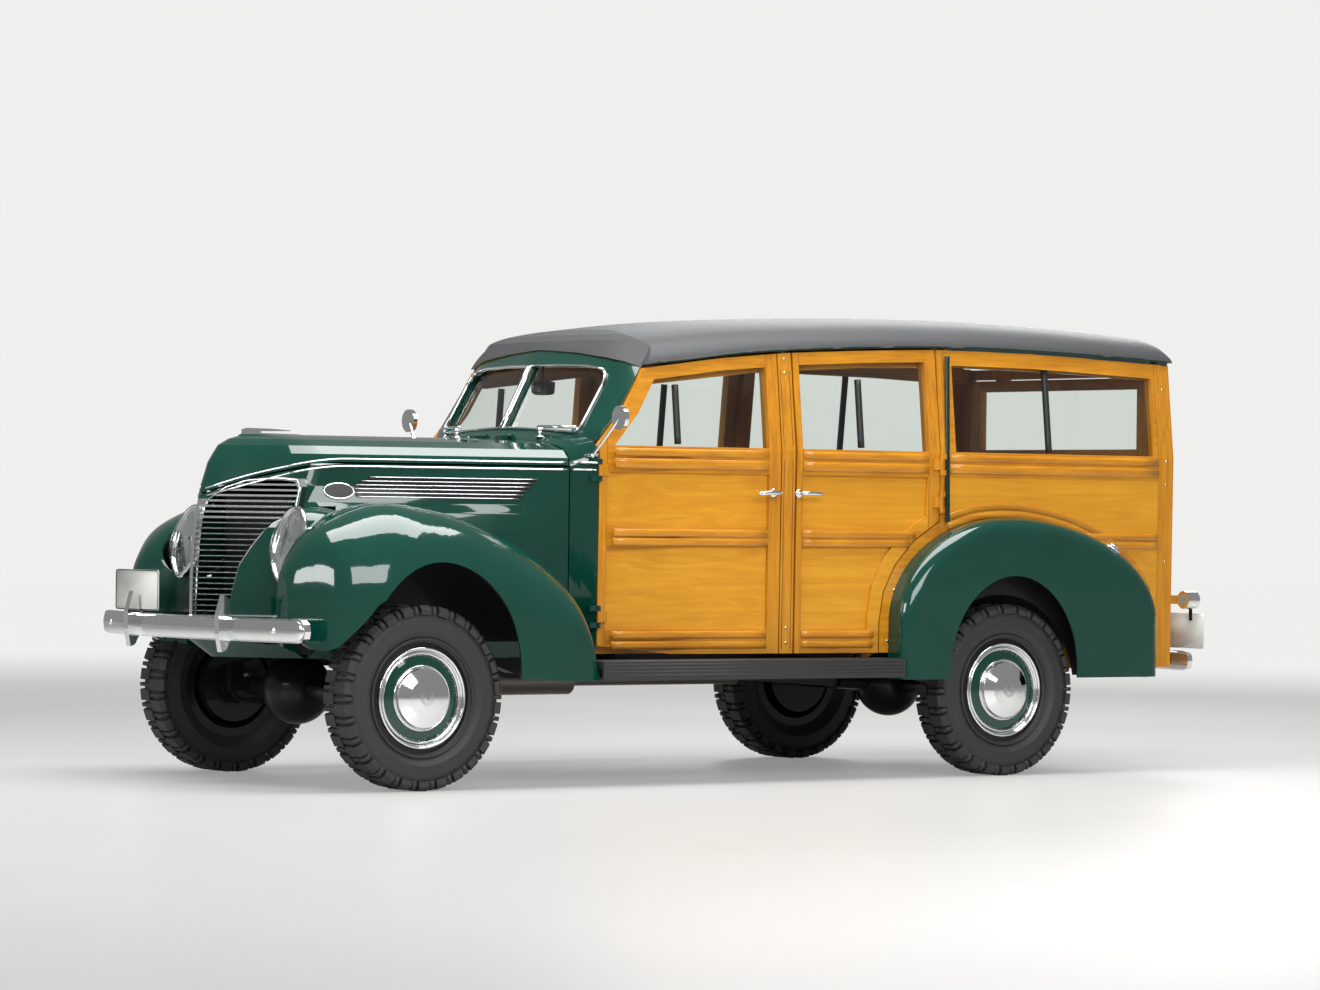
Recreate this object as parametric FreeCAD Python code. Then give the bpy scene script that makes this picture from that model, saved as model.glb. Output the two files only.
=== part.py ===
import FreeCAD, Part
import math
import os

# Station wagon with a wooden body on a steel chassis with two driven axles.
# Millimetres. X forward, Y to the left, Z up. The origin is on the ground,
# under the middle of the whole vehicle.

V = FreeCAD.Vector

# Driving dimensions
length = 4650.0
wheelbase = 2845.0
front_overhang = 660.0
track = 1440.0
tyre_d = 710.0
tyre_width = 182.0
rim_d = 426.0
body_half_width = 752.0
belt_z = 1330.0
sill_z = 512.0
roof_top_z = 1905.0
roof_edge_z = 1773.0
fender_half_width = 860.0

# Clearances
overrun = 40.0
seat_gap = 0.3
panel_gap = 5.0
swing_gap = 6.0

# Places along the vehicle, measured back from the front axle
hood_rear_back = 815.0
door_front_back = 900.0
front_door_rear_back = 1729.0
rear_door_front_back = 1806.0
rear_door_rear_back = 2522.0
quarter_front_back = 2564.0
tail_back = 3800.0

axle_z = tyre_d / 2
half_track = track / 2
half_length = length / 2
front_axle_x = half_length - front_overhang
rear_axle_x = front_axle_x - wheelbase
hood_rear_x = front_axle_x - hood_rear_back
door_front_x = front_axle_x - door_front_back
front_door_rear_x = front_axle_x - front_door_rear_back
rear_door_front_x = front_axle_x - rear_door_front_back
rear_door_rear_x = front_axle_x - rear_door_rear_back
quarter_front_x = front_axle_x - quarter_front_back
tail_x = front_axle_x - tail_back


# Small helpers

def at_share(start, end, share):
    return start + (end - start) * share


def box(x0, x1, y0, y1, z0, z1):
    low = V(min(x0, x1), min(y0, y1), min(z0, z1))
    return Part.makeBox(abs(x1 - x0), abs(y1 - y0), abs(z1 - z0), low)


def bar(start, end, radius):
    return Part.makeCylinder(radius, (end - start).Length, start, end - start)


def polygon(points):
    return Part.makePolygon(points + [points[0]])


def prism(points, reach):
    return Part.Face(polygon(points)).extrude(reach)


def prism_y(outline, y0, y1):
    return prism([V(x, y0, z) for x, z in outline], V(0, y1 - y0, 0))


def prism_x(outline, x0, x1):
    return prism([V(x0, y, z) for y, z in outline], V(x1 - x0, 0, 0))


def prism_z(outline, z0, z1):
    return prism([V(x, y, z0) for x, y in outline], V(0, 0, z1 - z0))


def plate(centre, half_along, leaf, inward):
    corners = [centre - half_along, centre + half_along, centre + half_along + leaf, centre - half_along + leaf]
    return prism(corners, inward)


def spline(points):
    curve = Part.BSplineCurve()
    curve.interpolate(points)
    return curve.toShape()


def line(start, end):
    return Part.LineSegment(start, end).toShape()


def loft(wires, ruled=False):
    return Part.makeLoft(wires, True, ruled)


def mirrored(shape):
    return shape.mirror(V(0, 0, 0), V(0, 1, 0))


def both_sides(shapes):
    return shapes + [mirrored(shape) for shape in shapes]


def fused(shapes):
    return shapes[0].multiFuse(shapes[1:]).removeSplitter()


def revolve_y(profile, x, z):
    wire = polygon([V(x, y, z + radius) for radius, y in profile])
    return Part.Face(wire).revolve(V(x, 0, z), V(0, 1, 0), 360)


def interpolated(table, x):
    for (x0, v0), (x1, v1) in zip(table, table[1:]):
        if x0 >= x >= x1:
            return at_share(v0, v1, (x0 - x) / (x0 - x1))
    return table[0][1] if x > table[0][0] else table[-1][1]


def save(name, shapes):
    shape = shapes if isinstance(shapes, Part.Shape) else Part.makeCompound(shapes)
    shape.exportStep("parts/" + name + ".step")


def solids_of(shapes):
    return [solid for shape in shapes for solid in shape.Solids]


# Hinges: a barrel and leaf on the moving piece between two on the fixed one

hinge_r = 8.0
hinge_proud = 9.0
hinge_height = 44.0
hinge_leaf = 42.0
hinge_sink = 24.0


def hinge(centre, along, leaf, inward):
    half = along * (hinge_height / 2)
    moving = [bar(centre - half, centre + half, hinge_r), plate(centre, half, leaf * hinge_leaf, inward * hinge_sink)]
    fixed = []
    short = along * (hinge_height / 4)
    for sign in (1, -1):
        place = centre + along * (sign * (hinge_height * 0.75 + seat_gap))
        fixed += [bar(place - short, place + short, hinge_r), plate(place, short, leaf * -hinge_leaf, inward * hinge_sink)]
    return moving, fixed


# Body side: one curved wall that the doors and panels are cut from

wall = 45.0
sill_tuck = 8.0
roof_tuck = 53.0
wall_low_z = 400.0
wall_high_z = 1800.0
side_length = door_front_x - tail_x
side_width_shares = ((-0.05, 0.840), (0.0, 0.860), (0.14, 0.918), (0.29, 0.968),
                     (0.56, 1.0), (0.83, 1.0), (1.0, 0.982), (1.03, 0.978))
roof_edge_shares = ((0.33, 0.900), (0.301, 0.914), (0.251, 0.9335), (0.087, 0.9633), (-0.052, 0.9803),
                    (-0.215, 0.9915), (-0.393, 1.0), (-0.602, 0.9983), (-0.899, 0.9836), (-0.94, 0.979))
edge_table = [(share * half_length, height * roof_edge_z) for share, height in roof_edge_shares]
width_table = [(door_front_x - share * side_length, width * body_half_width) for share, width in side_width_shares]


def edge_height(x):
    return interpolated(edge_table, x)


def side_width(x, z=belt_z):
    lean = max(z - belt_z, 0) / (wall_high_z - belt_z) * roof_tuck
    return interpolated(width_table, x) - lean


def wall_layer(outer, inner):
    wires = []
    for x, y in width_table:
        rows = [(y - sill_tuck, wall_low_z), (y, belt_z), (y - roof_tuck, wall_high_z)]
        outside = [V(x, row_y - outer, z) for row_y, z in rows]
        inside = [V(x, row_y - inner, z) for row_y, z in reversed(rows)]
        wires.append(polygon(outside + inside))
    return loft(wires)


def through_wall(outline):
    return prism_y(outline, 0, fender_half_width)


# Arch of the rear wheel in the body side

arch_z = 640.0
arch_front_reach = 625.0
arch_rear_reach = 850.0
arch_rise = 482.0
band_width = 52.0


def arch_outline(inset, shares, low_z):
    # Half an oval, longer behind the axle than in front of it
    points = []
    for share in shares:
        angle = math.pi * share
        reach = arch_front_reach if share < 0.5 else arch_rear_reach
        x = rear_axle_x + (reach - inset) * math.cos(angle)
        points.append((x, arch_z + (arch_rise - inset) * math.sin(angle)))
    return [(points[0][0], low_z)] + points + [(points[-1][0], low_z)]


arch_shares = (0.0, 0.08, 0.16, 0.24, 0.32, 0.4, 0.5, 0.6, 0.68, 0.76, 0.84, 0.92, 1.0)


def arch_prism(inset, low_z, y0, y1):
    points = arch_outline(inset, arch_shares, low_z)
    top = [V(x, y0, z) for x, z in points[1:-1]]
    low_front = V(points[0][0], y0, points[0][1])
    low_rear = V(points[-1][0], y0, points[-1][1])
    wire = Part.Wire([line(low_front, top[0]), spline(top), line(top[-1], low_rear), line(low_rear, low_front)])
    return Part.Face(wire).extrude(V(0, y1 - y0, 0))



# Doors

door_head_gap = 12.0
pillar_run = 319.0
pillar_high_z = 1830.0
# The raked front edge of the door, from the belt up: height, then how far back
pillar_shares = ((0.0, 0.0), (0.28, 0.354), (0.65, 0.687), (1.0, 1.0))
pillar_band = 67.0
stile_width = 56.0
window_sill_z = 1338.0
window_head_drop = 62.0
front_rise = 33.0
glass_thickness = 6.0
glass_inset = 20.0
panel_recess = 12.0
belt_rail_low_z = 1232.0
mid_rail_high_z = 1010.0
mid_rail_low_z = 942.0
low_rail_high_z = 606.0
front_hinge_zs = (660.0, 1239.0)
rear_hinge_zs = (1130.0, 1285.0)


head_shares = (0.0, 0.2, 0.4, 0.6, 0.8, 1.0)


def head_line(x0, x1, drop):
    xs = [at_share(x0, x1, share) for share in head_shares]
    return [(x, edge_height(x) - drop) for x in xs]


def pillar_line(x, low_z, drop):
    # Up the raked edge from the belt to the roof rail
    points = [(x, low_z)]
    for up, back in pillar_shares[1:]:
        point = (x - pillar_run * back, at_share(belt_z, pillar_high_z, up))
        if point[1] >= edge_height(point[0]) - drop:
            break
        points.append(point)
    last_x, last_z = points[-1]
    rest = edge_height(last_x - pillar_run / 4) - drop - last_z
    slope = (point[0] - last_x) / (point[1] - last_z)
    return points, last_x + slope * rest


def front_door_outline():
    edge, head_x = pillar_line(door_front_x, belt_z, door_head_gap)
    low = [(door_front_x, sill_z + front_rise)] + edge
    foot = [(front_door_rear_x, sill_z), (at_share(door_front_x, front_door_rear_x, 0.4), sill_z)]
    return low + head_line(head_x, front_door_rear_x, door_head_gap) + foot


def front_window_outline():
    rear_x = front_door_rear_x + stile_width
    edge, head_x = pillar_line(door_front_x - pillar_band, window_sill_z, window_head_drop)
    return edge + head_line(head_x, rear_x, window_head_drop) + [(rear_x, window_sill_z)]


def rear_door_outline():
    arch = [point for point in arch_outline(0, arch_shares, sill_z) if point[0] > rear_door_rear_x]
    low = [(rear_door_front_x, sill_z)]
    head = head_line(rear_door_front_x, rear_door_rear_x, door_head_gap)
    arch_top = arch_z + arch_rise * math.sqrt(1 - ((rear_door_rear_x - rear_axle_x) / arch_front_reach) ** 2)
    return low + head + [(rear_door_rear_x, arch_top)] + list(reversed(arch))


def rear_window_outline():
    front_x = rear_door_front_x - stile_width / 2
    rear_x = rear_door_rear_x + stile_width
    return [(front_x, window_sill_z)] + head_line(front_x, rear_x, window_head_drop) + [(rear_x, window_sill_z)]


def front_door_hinges():
    x = door_front_x + panel_gap / 2
    y = side_width(door_front_x) + hinge_proud
    return [hinge(V(x, y, z), V(0, 0, 1), V(-1, 0, 0), V(0, -1, 0)) for z in front_hinge_zs]


def rear_door_hinges():
    x = rear_door_rear_x - panel_gap / 2
    y = side_width(rear_door_rear_x) + hinge_proud
    return [hinge(V(x, y, z), V(0, 0, 1), V(1, 0, 0), V(0, -1, 0)) for z in rear_hinge_zs]


def make_door(outline, window, rails, stiles, keep_out=None):
    panel = wall_layer(0, wall).common(through_wall(outline)).cut(through_wall(window))
    skin = wall_layer(-overrun, panel_recess)
    x0, x1 = stiles
    pockets = []
    for low, high in rails:
        pocket = skin.common(through_wall([(x0, low), (x1, low), (x1, high), (x0, high)]))
        if keep_out:
            pocket = pocket.common(through_wall(keep_out))
        pockets.append(pocket)
    return panel.cut(Part.makeCompound(pockets))


def make_glass(window):
    layer = wall_layer(glass_inset, glass_inset + glass_thickness)
    xs = [x for x, z in window]
    zs = [z for x, z in window]
    mid_x = (min(xs) + max(xs)) / 2
    mid_z = (min(zs) + max(zs)) / 2
    share_x = 1 - seat_gap * 2 / (max(xs) - min(xs))
    share_z = 1 - seat_gap * 2 / (max(zs) - min(zs))
    outline = [(mid_x + (x - mid_x) * share_x, mid_z + (z - mid_z) * share_z) for x, z in window]
    return layer.common(through_wall(outline))


def build_doors():
    rails = [(low_rail_high_z, mid_rail_low_z), (mid_rail_high_z, belt_rail_low_z)]
    front_stiles = (front_door_rear_x + stile_width, door_front_x - stile_width * 0.6)
    front = make_door(front_door_outline(), front_window_outline(), rails, front_stiles)
    rear_stiles = (rear_door_rear_x + stile_width, rear_door_front_x - stile_width / 2)
    keep = [(rear_stiles[1], sill_z), (rear_stiles[1], belt_z), (rear_stiles[0], belt_z)]
    arch = [point for point in reversed(arch_outline(0, arch_shares, sill_z)) if point[0] > rear_door_rear_x]
    keep += [(x + stile_width, z + stile_width * 0.5) for x, z in arch]
    rear = make_door(rear_door_outline(), rear_window_outline(), rails, rear_stiles, keep)
    front = fused([front] + [piece for moving, fixed in front_door_hinges() for piece in moving])
    rear = fused([rear] + [piece for moving, fixed in rear_door_hinges() for piece in moving])
    front_glass = make_glass(front_window_outline())
    rear_glass = make_glass(rear_window_outline())
    pieces = (("door_front", front), ("door_rear", rear), ("glass_door_front", front_glass), ("glass_door_rear", rear_glass))
    for name, shape in pieces:
        save(name + "_left", shape)
        save(name + "_right", mirrored(shape))


# Fixed wooden sides: posts, quarter panel and roof rail

rail_depth = 40.0
cantrail_height = 70.0
sill_rail_height = 80.0
corner_post = 82.0
quarter_window_drop = 76.0
post_gap = 9.0


def post_outline(x0, x1, low_z):
    return [(x0, low_z)] + head_line(x0, x1, door_head_gap) + [(x1, low_z)]


def b_post_outline():
    return post_outline(front_door_rear_x - panel_gap, rear_door_front_x + post_gap, sill_z)


def quarter_window():
    front_x = quarter_front_x - stile_width * 0.75
    rear_x = tail_x + corner_post + overrun / 2
    return [(front_x, window_sill_z)] + head_line(front_x, rear_x, quarter_window_drop) + [(rear_x, window_sill_z)]


def quarter_panel(shell):
    # Behind the rear door: the wheel shows through it, and the fender sits in its outer face
    front_x = rear_door_rear_x - panel_gap
    low_z = wall_low_z + overrun
    outline = [(front_x, low_z)] + head_line(front_x, tail_x, door_head_gap) + [(tail_x, low_z)]
    band = [point for point in arch_outline(swing_gap, arch_shares, sill_z) if point[0] > rear_axle_x]
    band = [(rear_axle_x, sill_z)] + band + [(rear_axle_x, arch_z + arch_rise - swing_gap)]
    panel = shell.common(through_wall(outline)).fuse(shell.common(through_wall(band)))
    ring = arch_prism(band_width, 0, rear_fender_inner - seat_gap, fender_half_width)
    ring = ring.cut(arch_prism(band_width + fender_skin + seat_gap * 2, 0, 0, fender_half_width))
    reach = wheelhouse_reach - wheelhouse_wall
    wheel = box(rear_axle_x - reach, rear_axle_x + reach, 0, fender_half_width, 0, wheelhouse_top - wheelhouse_wall)
    return panel.cut(ring).cut(wheel).cut(through_wall(quarter_window()))


def build_sides():
    shell = wall_layer(0, wall)
    b_post = shell.common(through_wall(b_post_outline()))
    inner = wall_layer(wall + swing_gap, wall + swing_gap + rail_depth)
    rail_line = head_line(door_front_x - overrun * 6, tail_x + gate_thickness + seat_gap, door_head_gap)
    rail_low = [(x, z - cantrail_height) for x, z in reversed(rail_line)]
    cantrail = inner.common(through_wall(rail_line + rail_low))
    sill_rear_x = rear_axle_x + arch_front_reach
    sill_top = sill_z + sill_rail_height
    sill = [(door_front_x, sill_z), (door_front_x, sill_top), (sill_rear_x, sill_top), (sill_rear_x, sill_z)]
    tie = wall_layer(wall - seat_gap, wall + swing_gap + rail_depth / 2)
    strip_x = rear_door_rear_x - panel_gap
    strip = [(strip_x, belt_z)] + head_line(strip_x, quarter_front_x, door_head_gap) + [(quarter_front_x, belt_z)]
    ties = [tie.common(through_wall(outline)) for outline in (b_post_outline(), strip)]
    leaves = [piece for moving, fixed in rear_door_hinges() for piece in fixed]
    body = fused([b_post, quarter_panel(shell), cantrail, inner.common(through_wall(sill))] + ties + leaves)
    save("body_sides", both_sides([body]) + [rear_frame()])
    save("glass_fixed", both_sides([make_glass(quarter_window())]) + windshield_panes())


# Roof: a crowned panel that follows the sides and the raked front

roof_thickness = 26.0
roof_overhang = 14.0
roof_lead_shares = (0.375, 0.887)
roof_top_shares = ((0.315, 0.895), (0.301, 0.904), (0.284, 0.924), (0.255, 0.9407), (0.172, 0.9585), (0.087, 0.9711),
                   (-0.085, 0.9864), (-0.261, 0.9958), (-0.487, 1.0), (-0.72, 0.9937), (-0.882, 0.9832),
                   (-0.912, 0.9738), (-0.925, 0.950))
roof_crown_shares = ((1.0, 0.0), (0.985, 0.22), (0.93, 0.50), (0.80, 0.74), (0.55, 0.91), (0.28, 0.98), (0.0, 1.0))


def crown_points(x, top_z, inset):
    edge_z = edge_height(x)
    half = side_width(x, edge_z) + roof_overhang - inset
    rise = top_z - edge_z - inset
    crown = [V(x, half * across, edge_z + rise * up) for across, up in roof_crown_shares]
    return crown + [V(x, -half * across, edge_z + rise * up) for across, up in reversed(roof_crown_shares[:-1])]


def roof_top(x):
    table = [(share * half_length, height * roof_top_z) for share, height in roof_top_shares]
    return interpolated(table, x)


def roof_section(x, top_z):
    outer = crown_points(x, top_z, 0)
    inner = list(reversed(crown_points(x, top_z, roof_thickness)))
    return Part.Wire([spline(outer), line(outer[-1], inner[0]), spline(inner), line(inner[-1], outer[0])])


def space_under_roof(inset):
    wires = []
    for share, height in (roof_lead_shares,) + roof_top_shares:
        x = share * half_length
        crown = crown_points(x, height * roof_top_z, inset)
        low_left = V(x, crown[0].y, belt_z - overrun)
        low_right = V(x, crown[-1].y, belt_z - overrun)
        wires.append(Part.Wire([spline(crown), line(crown[-1], low_right), line(low_right, low_left), line(low_left, crown[0])]))
    return loft(wires)


def roof_panel():
    # The slab ends on the raked front, and a brow of cloth comes down to the header
    room = cabin_front(-roof_overhang / 2)
    behind = behind_pillars(0)
    stations = [(share * half_length, height * roof_top_z) for share, height in roof_top_shares]
    slab = loft([roof_section(x, top) for x, top in stations]).common(room.fuse(behind))
    brow = room.cut(cabin_front(front_wall)).common(header_zone(True)).common(pillar_zone())
    brow = brow.common(space_under_roof(roof_thickness / 2))
    return fused([slab, brow]).cut(header_zone(False).common(pillar_zone()))


bow_count = 6
bow_width = 38.0
bow_drop = 34.0
bow_seat_share = 0.75


def roof_bow(x):
    top = roof_top(x)
    crown = crown_points(x, top, roof_thickness + seat_gap)
    low = max(edge_height(x), at_share(edge_height(x), edge_height(x + bow_width), bow_seat_share)) - door_head_gap + seat_gap
    half = side_width(x, edge_height(x)) - wall - swing_gap - seat_gap
    inner = [p for p in crown_points(x, top - bow_drop, roof_thickness) if abs(p.y) < half - bow_drop]
    outer = [p for p in crown if abs(p.y) < half]
    lead = V(x, half, low)
    tail = V(x, -half, low)
    under = [V(x, p.y, p.z) for p in reversed(inner)]
    points = [lead] + outer + [tail, V(x, -half + bow_drop, low)] + under + [V(x, half - bow_drop, low)]
    return prism(points, V(bow_width, 0, 0))


def build_roof():
    xs = [at_share(door_front_x * 0.45, tail_x + overrun * 2, step / (bow_count - 1)) for step in range(bow_count)]
    save("roof", [roof_panel()] + [roof_bow(x) for x in xs])


# Front of the cabin: raked pillars, header and cowl, by level sections

screen_low_z = 1396.0
screen_low_back = 857.0
screen_high_z = 1655.0
screen_half = 501.0
screen_low_sweep = 44.0
screen_high_sweep = 62.0
front_wall = 30.0
cabin_rear_x = 150.0
# The raked front in the middle: height, then how far behind its foot
rake_shares = ((-0.41, -0.22), (0.0, 0.0), (0.5967, 0.32), (0.77, 0.43), (0.85, 0.486), (0.908, 0.58), (0.965, 0.766), (1.0, 1.0))
rake_rise = 434.0
rake_run = 428.0


def screen_x(z):
    table = [(-up, back) for up, back in rake_shares]
    return front_axle_x - screen_low_back - rake_run * interpolated(table, -(z - screen_low_z) / rake_rise)


def pillar_x(z):
    edge = [(-up, back) for up, back in pillar_shares]
    return door_front_x + swing_gap - pillar_run * interpolated(edge, -(z - belt_z) / (pillar_high_z - belt_z))


def screen_plan(z, inset):
    # The front goes back from the middle to the pillars and turns along the side
    front_x = screen_x(z) - inset
    sweep = at_share(screen_low_sweep, screen_high_sweep, (z - screen_low_z) / (screen_high_z - screen_low_z))
    edge = side_width(door_front_x, z) - inset
    edge_x = min(pillar_x(z), front_x - sweep * 1.4)
    half = screen_half - inset
    points = [V(front_x, 0, z), V(front_x - sweep * 0.35, half / 2, z), V(front_x - sweep, half, z)]
    left = points + [V(at_share(points[-1].x, edge_x, 0.46), at_share(half, edge, 0.5), z), V(edge_x, edge, z)]
    right = [V(p.x, -p.y, p.z) for p in reversed(left[1:])]
    front = spline(right + left)
    corner, other_corner = left[-1], right[0]
    rear = V(cabin_rear_x, edge, z)
    other_rear = V(cabin_rear_x, -edge, z)
    return Part.Wire([front, line(corner, rear), line(rear, other_rear), line(other_rear, other_corner)])


def cabin_front(inset):
    levels = [screen_low_z + rake_rise * up for up, back in rake_shares]
    return loft([screen_plan(z, inset) for z in levels], True)


cowl_wall = 14.0
cowl_low_z = 500.0
cowl_top_z = 1399.0
glass_margin = 34.0
divider_half = 12.0
firewall_x = 788.0
firewall_thickness = 10.0
dash_z = 1180.0
dash_depth = 60.0
dash_half = 590.0
header_half = 660.0
# Where the cloth of the roof begins on the header: across, then height over the screen
header_shares = ((0.0, 1.0), (0.38, 0.80), (0.68, 0.50), (0.82, 0.28), (0.92, 0.0), (1.0, -0.45))
header_rise = 75.0
# Half sections from the hood to the doors: place, then across and up
cowl_shares = ((0.0, ((1.0, 0.0), (1.0, 0.832), (0.980, 0.873), (0.919, 0.909), (0.75, 0.9366), (0.551, 0.949), (0.268, 0.9577))),
               (0.44, ((0.99, 0.0), (1.0, 0.838), (0.983, 0.887), (0.925, 0.9266), (0.756, 0.961), (0.538, 0.982), (0.269, 0.9922))),
               (1.0, ((0.989, 0.0), (1.0, 0.8476), (0.992, 0.903), (0.951, 0.94), (0.804, 0.97), (0.588, 0.99), (0.294, 0.9989))))


def cowl_section(along, section, inset):
    x = at_share(hood_rear_x - swing_gap, door_front_x + swing_gap, along)
    half = at_share(hood_rear_half, side_width(door_front_x), along)
    low = V(x, half * section[0][0] - inset, cowl_low_z - (overrun if inset else 0))
    top = [V(x, half * across - inset, at_share(cowl_low_z, cowl_top_z, up) - inset) for across, up in section[1:]]
    other = V(x, -low.y, low.z)
    crown = top + [V(x, -p.y, p.z) for p in reversed(top)]
    return Part.Wire([line(low, top[0]), spline(crown), line(crown[-1], other), line(other, low)])


def cowl_hull(inset):
    return loft([cowl_section(along, section, inset) for along, section in cowl_shares], True)


def header_zone(above):
    # In front view, the part above or below the line where the cloth begins
    line_points = [(header_half * across, screen_high_z + header_rise * up) for across, up in header_shares]
    line_points = [(-y, z) for y, z in reversed(line_points[1:])] + line_points
    far_z = roof_top_z + overrun if above else belt_z - overrun * 2
    outline = line_points + [(line_points[-1][0], far_z), (line_points[0][0], far_z)]
    return prism_x(outline, door_front_x - pillar_run, hood_rear_x + overrun)


def pillar_edge():
    return [(pillar_x(z), z) for z in [at_share(belt_z, pillar_high_z, up) for up, back in pillar_shares]]


def behind_pillars(drop):
    # Everything over the doors and behind their raked front edge
    edge = pillar_edge()
    low_z = belt_z - drop
    high_z = roof_top_z + overrun
    outline = [(-half_length, low_z), (edge[0][0], low_z)] + edge + [(edge[-1][0], high_z), (-half_length, high_z)]
    return prism_y(outline, -fender_half_width, fender_half_width)


def pillar_zone():
    # Everything in front of the door opening and its raked edge
    rear_x = door_front_x + swing_gap
    front_x = hood_rear_x - swing_gap * 2
    edge = pillar_edge()
    outline = [(front_x, belt_z - overrun), (rear_x, belt_z - overrun)] + edge + [(front_x, edge[-1][1])]
    return prism_y(outline, -fender_half_width, fender_half_width)


def screen_opening(sign, inset):
    # The lower edge follows the crown of the cowl
    low = cowl_top_z + divider_half * 0.3 + inset
    high = screen_high_z + glass_margin * 0.2 - inset
    side = screen_half - glass_margin
    near = divider_half + inset
    far = screen_half - inset
    outline = [(near, low), (near, high), (side * 0.8, high - glass_margin * 0.25), (side, high - glass_margin * 0.7), (far, high - glass_margin * 1.8),
               (far, low + glass_margin * 0.3), (side, low - glass_margin * 0.6), (screen_half * 0.5, low - glass_margin * 0.2)]
    return prism_x([(sign * y, z) for y, z in outline], 0, half_length)


def windshield_panes():
    lead = front_wall * 0.4
    layer = cabin_front(lead).cut(cabin_front(lead + glass_thickness)).common(pillar_zone())
    layer = layer.cut(cowl_hull(-seat_gap))
    return solids_of([layer.common(screen_opening(sign, seat_gap)) for sign in (1, -1)])


def firewall_and_dash():
    inside = cowl_hull(cowl_wall - seat_gap)
    low_z = floor_z + seat_gap
    sheet = inside.common(box(firewall_x, firewall_x + firewall_thickness, -fender_half_width, fender_half_width, low_z, cowl_top_z))
    tunnel = box(0, half_length, -tunnel_half - seat_gap, tunnel_half + seat_gap, 0, tunnel_top + seat_gap)
    front = firewall_x + firewall_thickness / 2
    panel = box(front - dash_depth - overrun / 2, front, -dash_half, dash_half, dash_z, belt_z - overrun * 1.2)
    return [sheet.cut(tunnel), panel]


def build_cowl():
    shell = cabin_front(0).cut(cabin_front(front_wall)).common(header_zone(False))
    frame = shell.common(space_under_roof(roof_thickness + seat_gap))
    frame = frame.cut(behind_pillars(overrun * 3))
    frame = frame.cut(Part.makeCompound([screen_opening(sign, 0) for sign in (1, -1)]))
    leaves = [piece for moving, fixed in front_door_hinges() for piece in fixed]
    leaves = both_sides(leaves) + [piece for moving, fixed in hood_hinges() for piece in fixed]
    cowl = cowl_hull(0).cut(cowl_hull(cowl_wall))
    save("cowl", fused([cowl, frame, steering_column()] + firewall_and_dash() + leaves))


# Hood and the front panels: level sections with a prow in the middle

moulding_z = 1248.0
grille_low_z = 640.0
prow_slope = 0.7
prow_shares = ((0.0, 0.955), (0.395, 0.955), (0.45, 0.9995), (0.5, 0.9995), (0.65, 0.999), (0.79, 0.9958), (0.85, 0.989), (0.913, 0.981), (0.962, 0.9735), (1.006, 0.9645),
               (1.06, 0.944), (1.075, 0.926), (1.086, 0.904))
hood_front_x = 1942.0
hood_front_half = 353.0
hood_rear_half = 555.0
apron_half = 425.0
prow_x = front_axle_x + front_overhang * 0.873
horn_x = 1900.0
skin = 10.0


def prow_at(z):
    table = [(-share * moulding_z, width * prow_x) for share, width in prow_shares]
    return interpolated(table, -z)


def hood_side_width(x, z):
    return at_share(hood_front_half, hood_rear_half, (hood_front_x - x) / (hood_front_x - hood_rear_x))


def nose_plan(z, side_front, side_rear, inset, rear_x):
    tip = prow_at(z) - inset
    corner_x = tip - prow_slope * side_front
    rows = ((0.0, 0.0), (0.12, 0.07), (0.5, 0.47), (0.85, 0.86), (1.0, 1.22))
    left = [V(tip - prow_slope * side_front * back, (side_front - inset) * across, z) for across, back in rows]
    right = [V(p.x, -p.y, p.z) for p in reversed(left[1:])]
    corner = left[-1]
    rear = V(rear_x, side_rear - inset, z)
    other_rear = V(rear_x, -rear.y, z)
    other_corner = V(corner.x, -corner.y, z)
    return Part.Wire([spline(right + left), line(corner, rear), line(rear, other_rear), line(other_rear, other_corner)])


clip_level_shares = (0.395, 0.45, 0.533, 0.641, 0.72, 0.80, 0.85, 0.88, 0.93, 1.0)
clip_front_shares = (0.90, 1.0, 1.0, 1.0, 1.0, 1.0, 0.93, 0.86, 0.83, 0.83)
clip_rear_shares = (1.0, 1.306, 1.306, 1.306, 1.306, 1.306, 1.306, 1.306, 1.306, 1.306)


def clip_levels(levels, fronts, rears):
    return [(level * moulding_z, front * apron_half, rear * apron_half) for level, front, rear in zip(levels, fronts, rears)]


def nose_ring(z, side_front, side_rear, thickness):
    # A level band of sheet: the outer line and the inner line, open at the back
    def half_line(inset):
        tip = prow_at(z) - inset
        rows = ((0.0, 0.0), (0.12, 0.07), (0.5, 0.47), (0.85, 0.86), (1.0, 1.22))
        return [V(tip - prow_slope * side_front * back, (side_front - inset) * across, z) for across, back in rows]
    wires = []
    for inset in (0, thickness):
        left = half_line(inset)
        right = [V(p.x, -p.y, z) for p in reversed(left[1:])]
        rear = V(hood_rear_x, side_rear - inset, z)
        wires.append((right + left, rear))
    outer, outer_rear = wires[0]
    inner, inner_rear = wires[1]
    turned = list(reversed(inner))
    flip = [V(p.x, -p.y, z) for p in (outer_rear, inner_rear)]
    return Part.Wire([line(flip[0], outer[0]), spline(outer), line(outer[-1], outer_rear), line(outer_rear, inner_rear),
                      line(inner_rear, turned[0]), spline(turned), line(turned[-1], flip[1]), line(flip[1], flip[0])])


def clip_shell():
    rows = clip_levels(clip_level_shares, clip_front_shares, clip_rear_shares)
    return loft([nose_ring(z, front, rear, skin) for z, front, rear in rows], True)


parting_fall_share = 0.119
parting_start_share = 0.66
parting_power = 1.9
parting_steps = 14


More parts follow.
